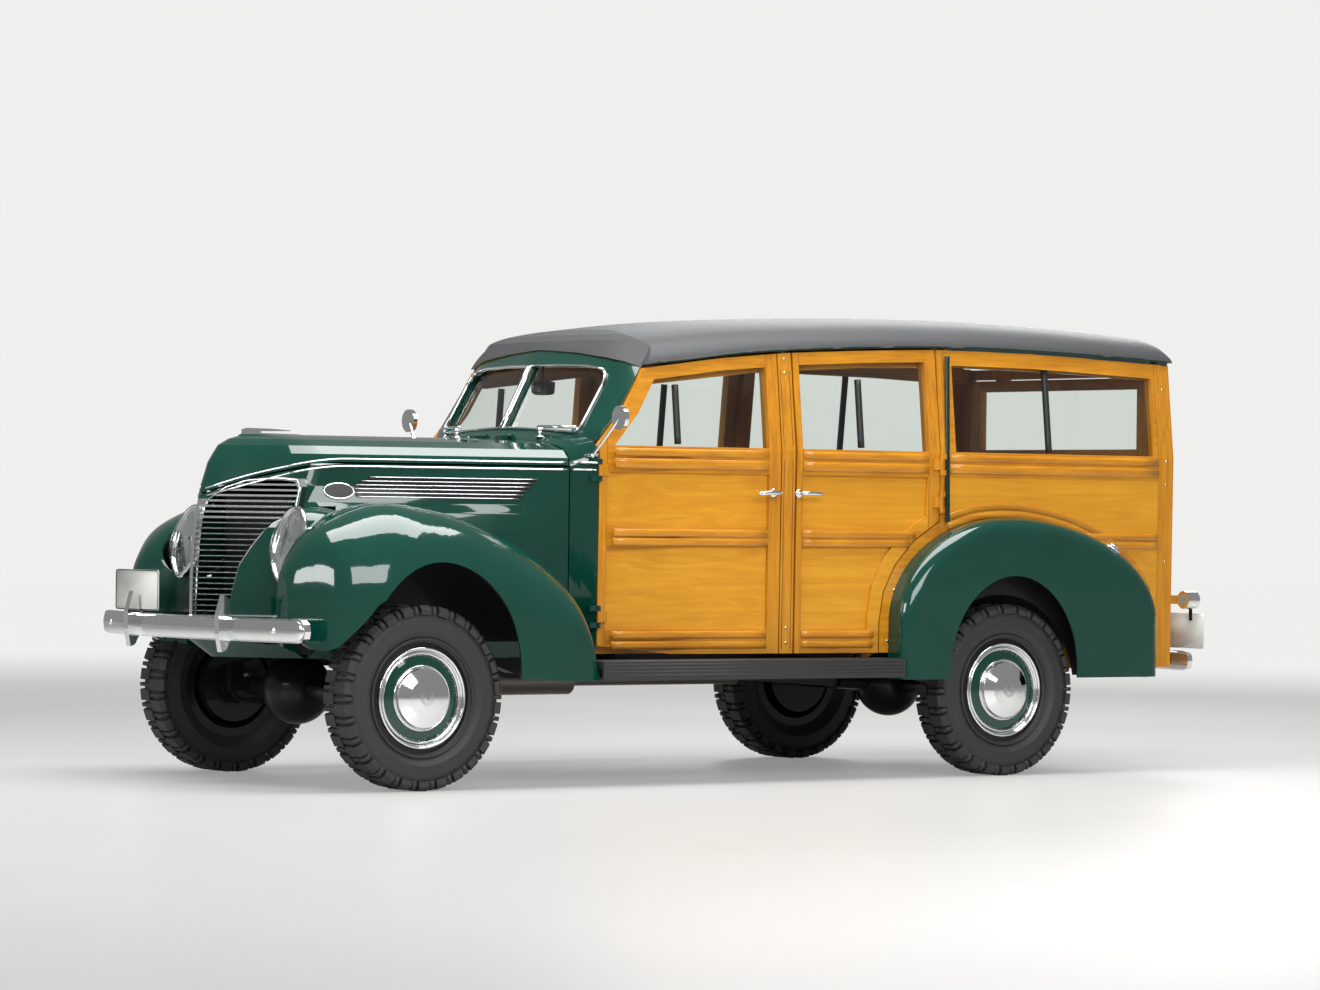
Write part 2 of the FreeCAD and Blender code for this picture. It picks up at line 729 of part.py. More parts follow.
def parting_outline(drop, top):
    # The line where the hood parts from the front panels, seen from the side
    tip_x = half_length
    span = prow_x - hood_rear_x
    fall = moulding_z * parting_fall_share
    low = [(hood_rear_x, moulding_z - drop)]
    for step in range(parting_steps + 1):
        share = step / parting_steps
        low.append((hood_rear_x + span * at_share(parting_start_share, 1, share), moulding_z - fall * share ** parting_power - drop))
    low[0] = (hood_rear_x - overrun, moulding_z - drop)
    return low + [(tip_x, low[-1][1]), (tip_x, top), (hood_rear_x - overrun, top)]


grille_outline_shares = ((0.40, 0.01), (0.43, 0.16), (0.50, 0.38), (0.60, 0.50), (0.72, 0.62), (0.84, 0.70), (0.96, 0.735), (1.0, 0.78),
                         (1.0, 0.93), (0.95, 0.985), (0.75, 1.0), (0.45, 0.98), (0.26, 0.93), (0.10, 0.84))
grille_half = 353.0
grille_high_z = 1196.0
grille_bars = 26
bar_height_share = 0.36
bar_depth = 22.0
frame_width = 12.0


def grille_outline(inset):
    rows = [((grille_half - inset) * across, at_share(grille_low_z + inset, grille_high_z - inset, up)) for across, up in grille_outline_shares]
    return rows + [(-y, z) for y, z in reversed(rows)]


def grille_opening(inset):
    return prism_x(grille_outline(inset), hood_front_x * 0.9, half_length)


def prow_strip(z, lead, depth):
    tip = prow_at(z) + lead
    reach = grille_half * 1.1
    back = prow_slope * reach
    blunt = frame_width
    front = [V(tip, 0, z), V(tip - blunt * 0.5, blunt, z), V(tip - back, reach, z)]
    rear = [V(tip - back - depth, reach, z), V(tip - depth, 0, z)]
    left = front + rear
    right = [V(p.x, -p.y, z) for p in (rear[0], front[2], front[1])]
    return polygon(left + right)


def prow_layer(lead, depth):
    levels = (0.0, 0.3, 0.55, 0.7, 0.8, 0.9, 1.0)
    return loft([prow_strip(at_share(grille_low_z, grille_high_z, level), lead, depth) for level in levels], True)


def build_grille():
    layer = prow_layer(frame_width * 0.3, bar_depth)
    pitch = (grille_high_z - grille_low_z) / grille_bars
    rows = []
    for index in range(grille_bars):
        z = grille_low_z + pitch * (index + 0.5)
        rows.append(box(hood_front_x * 0.9, half_length, -fender_half_width, fender_half_width,
                        z - pitch * bar_height_share / 2, z + pitch * bar_height_share / 2))
    ring = grille_opening(seat_gap).cut(grille_opening(frame_width))
    post = box(hood_front_x * 0.9, half_length, -frame_width, frame_width, grille_low_z + seat_gap, grille_high_z * 0.93)
    inside = grille_opening(frame_width / 2)
    bars = [layer.common(row).common(inside) for row in rows]
    pieces = [layer.common(ring), layer.common(post).common(inside)] + [solid for piece in bars for solid in piece.Solids]
    opening = grille_opening(0)
    opening.translate(V(0, 0, seat_gap))
    save("grille", fused(pieces).common(opening).Solids)


def horn_room():
    # Room for the ends of the frame rails and the arms of the bumper
    low_y = rail_half - rail_width - panel_gap
    return box(horn_x, half_length, low_y, rail_half + bracket_width + panel_gap, 0, rail_high_z + rail_kick + panel_gap)


def build_front():
    above = prism_y(parting_outline(0, roof_top_z), -fender_half_width, fender_half_width)
    pods = both_sides([headlamp_pod()])
    room = Part.makeCompound(both_sides([horn_room(), headlamp_room()]))
    clip = clip_shell().cut(above).cut(room).multiFuse(pods).cut(grille_opening(0))
    save("front_panels", clip.Solids)
    save("hood", [make_hood(), hood_ornament()])


hood_level_shares = (0.86, 0.93, 1.0, 1.03, 1.055, 1.075, 1.084, 1.0905)
hood_front_shares = (0.83, 0.83, 0.83, 0.79, 0.70, 0.52, 0.38, 0.16)
hood_rear_shares = (1.306, 1.306, 1.306, 1.28, 1.20, 0.98, 0.72, 0.36)
hood_gap = 8.0
hood_hinge_y = 95.0
hinge_lift = 4.0
hood_hinge_share = 0.8


def hood_hinges():
    z = hood_level_shares[-1] * moulding_z + hinge_proud + hinge_lift
    places = [V(hood_rear_x - swing_gap / 2, sign * hood_hinge_y, z) for sign in (1, -1)]
    return [hinge(place, V(0, 1, 0), V(1, 0, 0), V(0, 0, -hood_hinge_share)) for place in places]


def hood_hull(inset):
    rows = clip_levels(hood_level_shares, hood_front_shares, hood_rear_shares)
    wires = []
    for z, front, rear in rows:
        height = z - inset if z > moulding_z * 1.07 else z
        low = overrun if inset and z == rows[0][0] else 0
        wires.append(nose_plan(height - low, front, rear, inset, hood_rear_x - (overrun if inset else 0)))
    return loft(wires, True)


def make_hood():
    shell = hood_hull(0).cut(hood_hull(skin))
    above = prism_y(parting_outline(-hood_gap, roof_top_z), -fender_half_width, fender_half_width)
    return fused([shell.common(above)] + [piece for moving, fixed in hood_hinges() for piece in moving])


# Front fenders: sections across the car, lofted along it

fender_skin = 8.0
front_fender_top_z = 1094.0
# Each row: distance from the front axle, top, bottom, inner and outer half width, height of the inner edge
front_fender_shares = ((0.757, 0.731, 0.585, 0.634, 0.70, 0.80), (0.735, 0.79, 0.55, 0.605, 0.756, 0.78),
                       (0.682, 0.841, 0.50, 0.558, 0.814, 0.75), (0.606, 0.891, 0.49, 0.50, 0.895, 0.75),
                       (0.508, 0.932, 0.475, 0.45, 0.956, 0.80), (0.386, 0.967, 0.46, 0.44, 0.988, 0.88),
                       (0.20, 1.0, 0.44, 0.43, 1.0, 0.90), (-0.06, 0.994, 0.42, 0.455, 1.0, 0.90), (-0.30, 0.966, 0.40, 0.50, 1.0, 0.90),
                       (-0.53, 0.917, 0.39, 0.55, 1.0, 0.90), (-0.76, 0.85, 0.385, 0.60, 0.997, 0.90), (-0.95, 0.773, 0.38, 0.64, 0.99, 0.90),
                       (-1.09, 0.68, 0.38, 0.66, 0.98, 0.90), (-1.16, 0.56, 0.38, 0.68, 0.97, 0.90), (-1.19, 0.43, 0.38, 0.68, 0.965, 0.90))
# Across the fender: place, rise from the inner edge to the crown, and fall to the outer one
fender_section_shares = ((0.0, 0.90), (0.14, 0.965), (0.32, 0.997), (0.46, 1.0), (0.64, 0.965), (0.80, 0.87), (0.93, 0.70), (1.0, 0.45))


crown_share = 0.46


def front_fender_section(row, inset, inward):
    along, top, low, inner, outer, inner_up = row
    x = front_axle_x + along * front_overhang
    if inset:
        x -= inset if along > 0 else -inset
    top_z = top * front_fender_top_z - inset
    low_z = low * front_fender_top_z - (overrun if inset else 0)
    y_in = inner * fender_half_width
    if x < hood_front_x:
        y_in = hood_side_width(x, 0) + seat_gap * 2 - (inward if inset else 0)
    elif inset:
        y_in += inset
    y_out = outer * fender_half_width - inset
    rise = (1 - inner_up) / (1 - fender_section_shares[0][1])
    crown = []
    for across, up in fender_section_shares:
        height = 1 - (1 - up) * rise if across < crown_share else up
        crown.append(V(x, at_share(y_in, y_out, across), at_share(low_z, top_z, height)))
    foot = V(x, y_out, low_z)
    heel = V(x, y_in, low_z)
    return Part.Wire([spline(crown), line(crown[-1], foot), line(foot, heel), line(heel, crown[0])])


def oval_cut(centre_x, centre_z, reach, rise, low_z, y0, y1):
    points = [(centre_x + reach, low_z)]
    for step in range(13):
        angle = math.pi * step / 12
        points.append((centre_x + reach * math.cos(angle), centre_z + rise * math.sin(angle)))
    points.append((centre_x - reach, low_z))
    edges = [line(V(points[0][0], y0, points[0][1]), V(points[1][0], y0, points[1][1]))]
    edges.append(spline([V(x, y0, z) for x, z in points[1:-1]]))
    edges.append(line(V(points[-2][0], y0, points[-2][1]), V(points[-1][0], y0, points[-1][1])))
    edges.append(line(V(points[-1][0], y0, points[-1][1]), V(points[0][0], y0, points[0][1])))
    return Part.Face(Part.Wire(edges)).extrude(V(0, y1 - y0, 0))


front_arch_back = 55.0
front_arch_reach = 350.0
front_arch_rise = 425.0
front_arch_z = 450.0
# The edge of the fender in front of the wheel, down to its tip
tongue_shares = ((0.30, 0.0), (0.30, 0.672), (0.36, 0.652), (0.424, 0.603), (0.508, 0.547), (0.576, 0.503), (0.62, 0.490), (0.62, 0.0))
rear_arch_reach = 337.0
rear_arch_rise = 395.0
rear_arch_z = 434.0
rear_fender_inner = 740.0
rear_fender_low_z = 405.0
rear_fender_round = 62.0


def build_front_fenders():
    outer = loft([front_fender_section(row, 0, 0) for row in front_fender_shares])
    inner = loft([front_fender_section(row, fender_skin, overrun * 3) for row in front_fender_shares])
    shell = outer.cut(inner)
    arch_x = front_axle_x - front_arch_back
    shell = shell.cut(oval_cut(arch_x, front_arch_z, front_arch_reach, front_arch_rise, 0, apron_half, fender_half_width * 2))
    tongue = [(front_axle_x + front_overhang * along, front_fender_top_z * up) for along, up in tongue_shares]
    shell = shell.cut(prism_y(tongue, apron_half, fender_half_width * 2))
    rows = clip_levels(clip_level_shares, clip_front_shares, clip_rear_shares)
    hull = loft([nose_plan(z, front, rear, -seat_gap, hood_rear_x) for z, front, rear in rows], True)
    shell = shell.cut(Part.makeCompound([headlamp_room(), horn_room()])).cut(hull)
    largest = max(shell.Solids, key=lambda solid: solid.Volume)
    save("fenders_front", both_sides([largest]))


def rear_fender_solid(inset):
    low_z = rear_fender_low_z - (overrun if inset else 0)
    solid = arch_prism(band_width + seat_gap + inset, low_z, rear_fender_inner, fender_half_width - inset)
    reach = fender_half_width - rear_fender_inner - inset
    rim = [edge for edge in solid.Edges if abs(edge.BoundBox.YMin - edge.BoundBox.YMax) < seat_gap and edge.BoundBox.YMin > rear_fender_inner + reach / 2
           and edge.BoundBox.ZMax > rear_fender_low_z]
    return solid.makeFillet(rear_fender_round, rim)


def build_rear_fenders():
    outer = rear_fender_solid(0)
    inner = rear_fender_solid(fender_skin)
    shell = outer.cut(inner)
    shell = shell.cut(oval_cut(rear_axle_x, rear_arch_z, rear_arch_reach, rear_arch_rise, 0, rear_fender_inner - overrun, fender_half_width * 2))
    save("fenders_rear", both_sides(shell.Solids))


# Running boards

board_top_z = 490.0
board_thick = 26.0
board_front_x = front_axle_x - front_overhang * 1.19 - seat_gap
board_rear_x = rear_axle_x + arch_front_reach - band_width
board_inner = 660.0
board_skirt = 75.0


def build_boards():
    board = box(board_rear_x, board_front_x, board_inner, fender_half_width, board_top_z - board_thick, board_top_z)
    skirt = box(board_rear_x, board_front_x, fender_half_width - skin, fender_half_width, board_top_z - board_skirt, board_top_z)
    save("running_boards", both_sides([board.fuse(skirt)]))


# Chassis frame

gate_thickness = 40.0
rail_half = 385.0
rail_width = 60.0
rail_low_z = 430.0
rail_high_z = 540.0
rail_kick = 110.0
member_depth = 80.0
outrigger_shares = (0.36, 0.56)
outrigger_low_z = 424.0
member_shares = (0.05, 0.09, 0.24, 0.42, 0.60, 0.80, 0.985)
rail_front_x = 2130.0
rail_rear_x = tail_x + gate_thickness + seat_gap


def rail_outline():
    shares = ((0.0, 1.0), (0.19, 1.0), (0.27, 0.0), (0.63, 0.0), (0.70, 1.0), (1.0, 1.0))
    span = rail_front_x - rail_rear_x
    top = [(rail_front_x - span * along, rail_high_z + rail_kick * up) for along, up in shares]
    low = [(rail_front_x - span * along, rail_low_z + rail_kick * up * 1.1) for along, up in reversed(shares)]
    return top + low


def rail_height(x):
    shares = ((0.0, 1.0), (0.19, 1.0), (0.27, 0.0), (0.63, 0.0), (0.70, 1.0), (1.0, 1.0))
    table = [(rail_front_x - (rail_front_x - rail_rear_x) * along, rail_kick * up) for along, up in shares]
    return interpolated(table, x)


def build_frame():
    rails = both_sides([prism_y(rail_outline(), rail_half - rail_width, rail_half)])
    members = []
    for share in member_shares:
        x = at_share(rail_front_x, rail_rear_x, share)
        z = rail_high_z + rail_height(x)
        half = rail_half - rail_width / 2
        members.append(box(x - member_depth / 2, x + member_depth / 2, -half, half, z - member_depth, z - skin))
    outriggers = []
    top = board_top_z - board_thick - seat_gap
    for share in outrigger_shares:
        x = at_share(rail_front_x, rail_rear_x, share)
        x0, x1 = x - member_depth / 3, x + member_depth / 3
        outriggers.append(box(x0, x1, rail_half - skin, fender_half_width - overrun, outrigger_low_z, top))
        outriggers.append(box(x0, x1, rail_half - skin, floor_edge(x1) + rail_depth / 2, outrigger_low_z, sill_z - seat_gap))
    frame = fused(rails + members + both_sides(outriggers))
    save("chassis_frame", frame.cut(rear_shaft(shaft_r + swing_gap)))


# Axles, knuckles, wheels and tyres

tube_r = 38.0
diff_r = 140.0
diff_offset = -150.0
kingpin_half = 570.0
ball_r = 60.0
knuckle_r = 70.0
knuckle_flange_r = 76.0
knuckle_mouth = 3.0
stub_r = 23.0
drum_r = 150.0
drum_in = 640.0
arm_length = 190.0
arm_r = 14.0
arm_drop = 40.0


def axle_casing(x, half, diff_y, nose_sign):
    tube = bar(V(x, -half, axle_z), V(x, half, axle_z), tube_r)
    diff = Part.makeSphere(diff_r, V(x, diff_y, axle_z))
    nose = bar(V(x, diff_y, axle_z), V(x + nose_sign * diff_r * 2, diff_y, axle_z + tube_r * 0.5), tube_r)
    return [tube, diff, nose]


def front_axle():
    ball = Part.makeSphere(ball_r, V(front_axle_x, kingpin_half, axle_z))
    casing = axle_casing(front_axle_x, kingpin_half, diff_offset, -1)
    return fused(casing + both_sides([ball]))


def rear_axle():
    casing = axle_casing(rear_axle_x, drum_in - skin * 3, 0, 1)
    stub = bar(V(rear_axle_x, drum_in - skin * 4, axle_z), V(rear_axle_x, half_track, axle_z), stub_r)
    return fused(casing + both_sides([stub]))


def knuckle():
    # A round housing that turns on the ball of the axle and carries the wheel
    centre = V(front_axle_x, kingpin_half, axle_z)
    flange_y = drum_in - skin / 2
    body = Part.makeSphere(knuckle_r, centre)
    flange = bar(V(front_axle_x, drum_in - skin * 3, axle_z), V(front_axle_x, flange_y, axle_z), knuckle_flange_r)
    low = axle_z - arm_drop
    arm_x = front_axle_x - arm_length
    arm = box(arm_x, front_axle_x, kingpin_half - arm_r, kingpin_half + arm_r, low - arm_r, low + arm_r)
    boss = bar(V(arm_x, kingpin_half, low - arm_r), V(arm_x, kingpin_half, low + arm_r), arm_r * 1.4)
    far = front_axle_x + tyre_d
    mouth = box(front_axle_x - arm_length / 2, far, 0, kingpin_half - knuckle_mouth, 0, tyre_d)
    beyond = box(front_axle_x - tyre_d, far, flange_y, fender_half_width, 0, tyre_d)
    spindle = bar(V(front_axle_x, drum_in - skin * 0.8, axle_z), V(front_axle_x, half_track, axle_z), stub_r)
    pin_half = knuckle_r + skin
    pin = bar(V(front_axle_x, kingpin_half, axle_z - pin_half), V(front_axle_x, kingpin_half, axle_z + pin_half), stub_r)
    shell = fused([body, flange, arm, boss, pin]).cut(Part.makeSphere(ball_r + seat_gap, centre)).cut(mouth).cut(beyond)
    return fused([shell, spindle])


def build_knuckles():
    left = knuckle()
    save("knuckle_front_left", left)
    save("knuckle_front_right", mirrored(left))
    arm_low = axle_z - arm_drop - arm_r
    rod_x = front_axle_x - arm_length
    rod_z = arm_low - arm_r * 1.3
    rod = bar(V(rod_x, -kingpin_half, rod_z), V(rod_x, kingpin_half, rod_z), arm_r)
    end = bar(V(rod_x, kingpin_half, rod_z - arm_r * 1.3), V(rod_x, kingpin_half, arm_low - seat_gap), arm_r * 1.2)
    save("tie_rod", fused([rod] + both_sides([end])))


tread_depth = 11.0
cap_r = 122.0
lug_count = 26
lug_share = 0.52


def make_tyre(x, sign):
    outer = tyre_d / 2 - tread_depth
    rim = rim_d / 2
    half = tyre_width / 2
    mid = half_track
    profile_shares = ((0.0, 0.62), (0.35, 0.93), (0.68, 0.90), (0.92, 0.80), (1.0, 0.55))
    left = [(at_share(rim, outer, up), mid - half * across) for up, across in profile_shares]
    right = [(at_share(rim, outer, up), mid + half * across) for up, across in reversed(profile_shares)]
    body = revolve_y(left + right, x, axle_z)
    lugs = []
    lug_width = math.pi * tyre_d / lug_count * lug_share
    for index in range(lug_count):
        for side in (1, -1):
            angle = 360.0 / lug_count * (index + (0.5 if side < 0 else 0.0))
            reach = tyre_d / 2
            low = at_share(rim, outer, 0.80)
            outline = [V(x - lug_width / 2, mid + side * half * 0.04, axle_z + outer - tread_depth),
                       V(x - lug_width / 2, mid + side * half * 0.04, axle_z + reach),
                       V(x - lug_width / 2, mid + side * half * 0.80, axle_z + reach),
                       V(x - lug_width / 2, mid + side * half, axle_z + reach - tread_depth * 1.6),
                       V(x - lug_width / 2, mid + side * half * 0.97, axle_z + low),
                       V(x - lug_width / 2, mid + side * half * 0.75, axle_z + low)]
            lug = prism(outline, V(lug_width, 0, 0))
            lug.rotate(V(x, mid, axle_z), V(0, 1, 0), angle)
            lugs.append(lug)
    tyre = body.multiFuse(lugs)
    return tyre if sign > 0 else mirrored(tyre)


def make_wheel(x, sign, drum_start):
    rim = rim_d / 2
    half = tyre_width / 2
    mid = half_track
    rows = [(drum_r, drum_start), (drum_r, drum_start + skin * 4), (rim * 0.72, mid - half * 0.1), (rim * 0.84, mid - half * 0.62),
            (rim - seat_gap, mid - half * 0.62), (rim - seat_gap, mid + half * 0.60), (rim * 0.86, mid + half * 0.66), (rim * 0.80, mid + half * 0.50),
            (rim * 0.70, mid + half * 0.56), (cap_r, mid + half * 0.62), (cap_r * 0.93, mid + half * 0.86), (cap_r * 0.6, mid + half * 1.06),
            (cap_r * 0.25, mid + half * 1.14), (0, mid + half * 1.15), (0, mid + seat_gap), (stub_r + seat_gap, mid + seat_gap), (stub_r + seat_gap, drum_start)]
    wheel = revolve_y(rows, x, axle_z)
    return wheel if sign > 0 else mirrored(wheel)


def build_wheels():
    drum_start = drum_in + seat_gap
    for name, x, sign in (("front_left", front_axle_x, 1), ("front_right", front_axle_x, -1), ("rear_left", rear_axle_x, 1), ("rear_right", rear_axle_x, -1)):
        save("tyre_" + name, make_tyre(x, sign))
        save("wheel_" + name, make_wheel(x, sign, drum_start))


# Rear end: corner posts, liftgate and tailgate

rear_low_z = 440.0
gate_low_z = 680.0
gate_split_z = 1300.0
gate_top_drop = 62.0
gate_half = 610.0
gate_rail = 70.0
gate_recess = 12.0
gate_gap = 10.0
gate_hinge_y = 430.0


def gate_hinges(z, up):
    # Barrels stand on the rear face at the foot of the tailgate and the head of the liftgate
    places = [V(tail_x - hinge_proud, sign * gate_hinge_y, z) for sign in (1, -1)]
    return [hinge(place, V(0, 1, 0), V(0, 0, up), V(0.5, 0, 0)) for place in places]


def tailgate_hinges():
    return gate_hinges(gate_low_z - panel_gap / 2, 1)


def liftgate_hinges():
    return gate_hinges(gate_top_z() + panel_gap / 2, -1)


def rear_half(z):
    tuck = sill_tuck * (belt_z - z) / (belt_z - wall_low_z) if z < belt_z else 0
    return side_width(tail_x, z) - tuck - wall - seat_gap


def gate_top_z():
    return edge_height(tail_x) - gate_top_drop


def rear_frame():
    top = edge_height(tail_x) - door_head_gap
    levels = (rear_low_z, belt_z, top)
    outline = [(rear_half(z), z) for z in levels] + [(-rear_half(z), z) for z in reversed(levels)]
    back = tail_x
    front = tail_x + gate_thickness
    frame = prism_x(outline, back, front)
    high = gate_top_z() + panel_gap
    half = gate_half + panel_gap
    opening = box(back - overrun, front + overrun, -half, half, gate_low_z - panel_gap, high)
    slot = box(back - overrun, front + overrun, rail_half - panel_gap, rail_half + bracket_width + panel_gap,
               rear_low_z - overrun, rail_high_z + overrun + panel_gap)
    leaves = [piece for moving, fixed in tailgate_hinges() + liftgate_hinges() for piece in fixed]
    return fused([frame.cut(opening).cut(Part.makeCompound(both_sides([slot])))] + leaves)


def build_gates():
    back = tail_x
    front = tail_x + gate_thickness
    split = gate_split_z
    gate = box(back, front, -gate_half, gate_half, gate_low_z, split - gate_gap / 2)
    pocket_half = (gate_half * 2 - gate_rail * 3) / 4
    for sign in (1, -1):
        mid = sign * (gate_rail / 2 + pocket_half)
        y0, y1 = mid - pocket_half, mid + pocket_half
        gate = gate.cut(box(back - overrun, back + gate_recess, y0, y1, gate_low_z + gate_rail, split - gate_rail))
    lift = box(back, front, -gate_half, gate_half, split + gate_gap / 2, gate_top_z())
    y1 = gate_half - gate_rail
    z0 = split + gate_rail
    z1 = gate_top_z() - gate_rail * 0.7
    lift = lift.cut(box(back - overrun, front + overrun, -y1, y1, z0, z1))
    pane_x = back + glass_inset
    pane = box(pane_x, pane_x + glass_thickness, -y1 + seat_gap, y1 - seat_gap, z0 + seat_gap, z1 - seat_gap)
    save("tailgate", fused([gate] + [piece for moving, fixed in tailgate_hinges() for piece in moving]))
    save("liftgate", fused([lift] + [piece for moving, fixed in liftgate_hinges() for piece in moving]))
    save("glass_liftgate", pane)


# Floor with its tunnel and wheelhouses, on the frame

floor_thickness = 20.0
floor_z = rail_high_z + seat_gap + floor_thickness
cargo_z = floor_z + rail_kick
step_x = rear_axle_x + 800.0
wheelhouse_half = 585.0
wheelhouse_top = 850.0
wheelhouse_wall = 12.0
wheelhouse_reach = 400.0
tunnel_half = 160.0
tunnel_top = 800.0
tunnel_rear_x = 560.0


def floor_edge(x):
    # The floor meets the sill inside the doors
    return side_width(x) - sill_tuck - wall - swing_gap - rail_depth - seat_gap


def floor_sheet(xs, low_z, inner):
    left = [(x, floor_edge(x) + inner) for x in xs]
    right = [(x, -y) for x, y in reversed(left)]
    return prism_z(left + right, low_z, low_z + floor_thickness)


def build_floor():
    front_x = firewall_x - seat_gap
    rear_x = tail_x + gate_thickness + seat_gap
    door_end_x = rear_door_rear_x - panel_gap
    front_low = floor_sheet((step_x, 0, front_x), floor_z - floor_thickness, 0)
    half = floor_edge(step_x)
    riser = box(step_x, step_x + floor_thickness, -half, half, floor_z - floor_thickness, cargo_z)
    cargo = floor_sheet((door_end_x, step_x + floor_thickness), cargo_z - floor_thickness, 0)
    rear = floor_sheet((rear_x, door_end_x), cargo_z - floor_thickness, swing_gap + rail_depth)
    tunnel = box(tunnel_rear_x, front_x, -tunnel_half, tunnel_half, floor_z - skin, tunnel_top)
    hollow_half = tunnel_half - skin
    hollow = box(tunnel_rear_x + skin, front_x + overrun, -hollow_half, hollow_half, 0, tunnel_top - skin)
    houses = []
    cavities = []
    x0, x1 = rear_axle_x - wheelhouse_reach, rear_axle_x + wheelhouse_reach
    outer = side_width(rear_axle_x) - sill_tuck - wall - seat_gap
    houses = both_sides([box(x0, x1, wheelhouse_half, outer, cargo_z - floor_thickness, wheelhouse_top)])
    cavity_y = wheelhouse_half + wheelhouse_wall
    cavity = box(x0 + wheelhouse_wall, x1 - wheelhouse_wall, cavity_y, fender_half_width, 0, wheelhouse_top - wheelhouse_wall)
    cavities = both_sides([cavity])
    floor = fused([front_low, riser, cargo, rear, tunnel] + houses)
    save("floor", floor.cut(hollow).cut(Part.makeCompound(cavities)))


# Seats

seat_half = 575.0
seat_depth = 480.0
cushion_thick = 150.0
seat_height = 335.0
back_thick = 120.0
back_height = 520.0
back_rake = 0.18
seat_fronts_back = (1150.0, 2010.0)
seat_round = 35.0


def build_seats():
    pieces = []
    for back, base_floor in zip(seat_fronts_back, (floor_z, cargo_z)):
        front_x = front_axle_x - back
        half = seat_half
        base_z = base_floor + seat_gap
        cushion_z = floor_z + seat_height - cushion_thick
        base_half = half - overrun
        base = box(front_x - seat_depth + overrun, front_x - overrun, -base_half, base_half, base_z, cushion_z - seat_gap)
        cushion = box(front_x - seat_depth, front_x, -half, half, cushion_z, cushion_z + cushion_thick)
        low_x = front_x - seat_depth - seat_gap
        lean = back_height * back_rake
        high_z = cushion_z + back_height
        outline = [(low_x, cushion_z), (low_x - lean, high_z), (low_x - lean - back_thick, high_z), (low_x - back_thick, cushion_z)]
        backrest = prism_y(outline, -half, half)
        pieces += [base, cushion, backrest]
    save("seats", pieces)


# Steering wheel and column

steer_x = 470.0
steer_y = 350.0
steer_z = 1150.0
steer_r = 215.0
steer_rim = 13.0
steer_slope = 0.62
column_r = 22.0
column_length = 560.0


def steer_axis():
    return V(-math.cos(steer_slope), 0, math.sin(steer_slope))


def build_steering():
    centre = V(steer_x, steer_y, steer_z)
    axis = steer_axis()
    rim = Part.makeTorus(steer_r, steer_rim, centre, axis)
    hub = bar(centre - axis * steer_rim * 2, centre + axis * steer_rim, column_r * 1.6)
    spokes = []
    side = V(0, 1, 0)
    up = axis.cross(side)
    for angle in (0.5, 2.64, 4.71):
        reach = side * math.cos(angle) + up * math.sin(angle)
        spokes.append(bar(centre, centre + reach * steer_r, steer_rim * 0.5))
    save("steering_wheel", fused([rim, hub] + spokes))


def steering_column():
    axis = steer_axis()
    start = V(steer_x, steer_y, steer_z) - axis * (steer_rim * 2 + seat_gap)
    return bar(start, start - axis * column_length, column_r)


# Engine, radiator, driveline, springs, tank and exhaust

engine_front_x = 1800.0
engine_rear_x = 1180.0
engine_half = 230.0
engine_low_z = 640.0
engine_high_z = 1100.0
radiator_x = 1880.0
radiator_half = 260.0
radiator_high_z = 1120.0
gearbox_r = 110.0
gearbox_z = 745.0
case_front_x = 780.0
case_rear_x = 600.0
case_low_z = 400.0
shaft_r = 28.0
joint_r = 34.0


def build_machinery():
    block = box(engine_rear_x, engine_front_x, -engine_half, engine_half, engine_low_z + seat_gap, engine_high_z)
    radiator = box(radiator_x, radiator_x + dash_depth, -radiator_half, radiator_half, engine_low_z + seat_gap, radiator_high_z)
    save("engine", [block, radiator])
    bell_start = V(engine_rear_x - seat_gap, 0, gearbox_z + gearbox_r * 0.6)
    bell = Part.makeCone(gearbox_r * 1.7, gearbox_r, (engine_rear_x - case_front_x) * 0.4, bell_start, V(-1, 0, 0))
    box_end = V(case_front_x - gearbox_r, 0, gearbox_z - gearbox_r * 0.55)
    gearbox = bar(V(engine_rear_x - gearbox_r, 0, gearbox_z), box_end, gearbox_r * 0.75)
    neck_half = gearbox_r * 0.6
    neck_high_z = gearbox_z - gearbox_r * 0.4
    neck = box(case_rear_x + skin * 2, case_front_x - skin, -neck_half, neck_half, case_low_z + gearbox_r, neck_high_z)
    case_high_z = floor_z - floor_thickness - skin
    case = box(case_rear_x, case_front_x, diff_offset - neck_half, gearbox_r, case_low_z, case_high_z)
    front_start = V(case_front_x - skin, diff_offset, case_low_z + gearbox_r * 0.6)
    front_end = V(front_axle_x - diff_r * 2 - joint_r - seat_gap, diff_offset, axle_z + tube_r * 0.5)
    shafts = [rear_shaft(shaft_r), bar(front_start, front_end, shaft_r)]
    joints = [Part.makeSphere(joint_r, point) for point in (front_end, rear_shaft_end())]
    save("driveline", fused([bell, gearbox, neck, case] + shafts + joints))


def rear_shaft_end():
    return V(rear_axle_x + diff_r * 2 + joint_r + seat_gap, 0, axle_z + tube_r * 0.5)


def rear_shaft(radius):
    return bar(V(case_rear_x + skin, 0, case_low_z + gearbox_r * 0.6), rear_shaft_end(), radius)


spring_half = 500.0
spring_width = 58.0
spring_leaf = 9.0
spring_leaves = 6
spring_lead = 92.0
spring_end_z = 440.0
shackle = 18.0


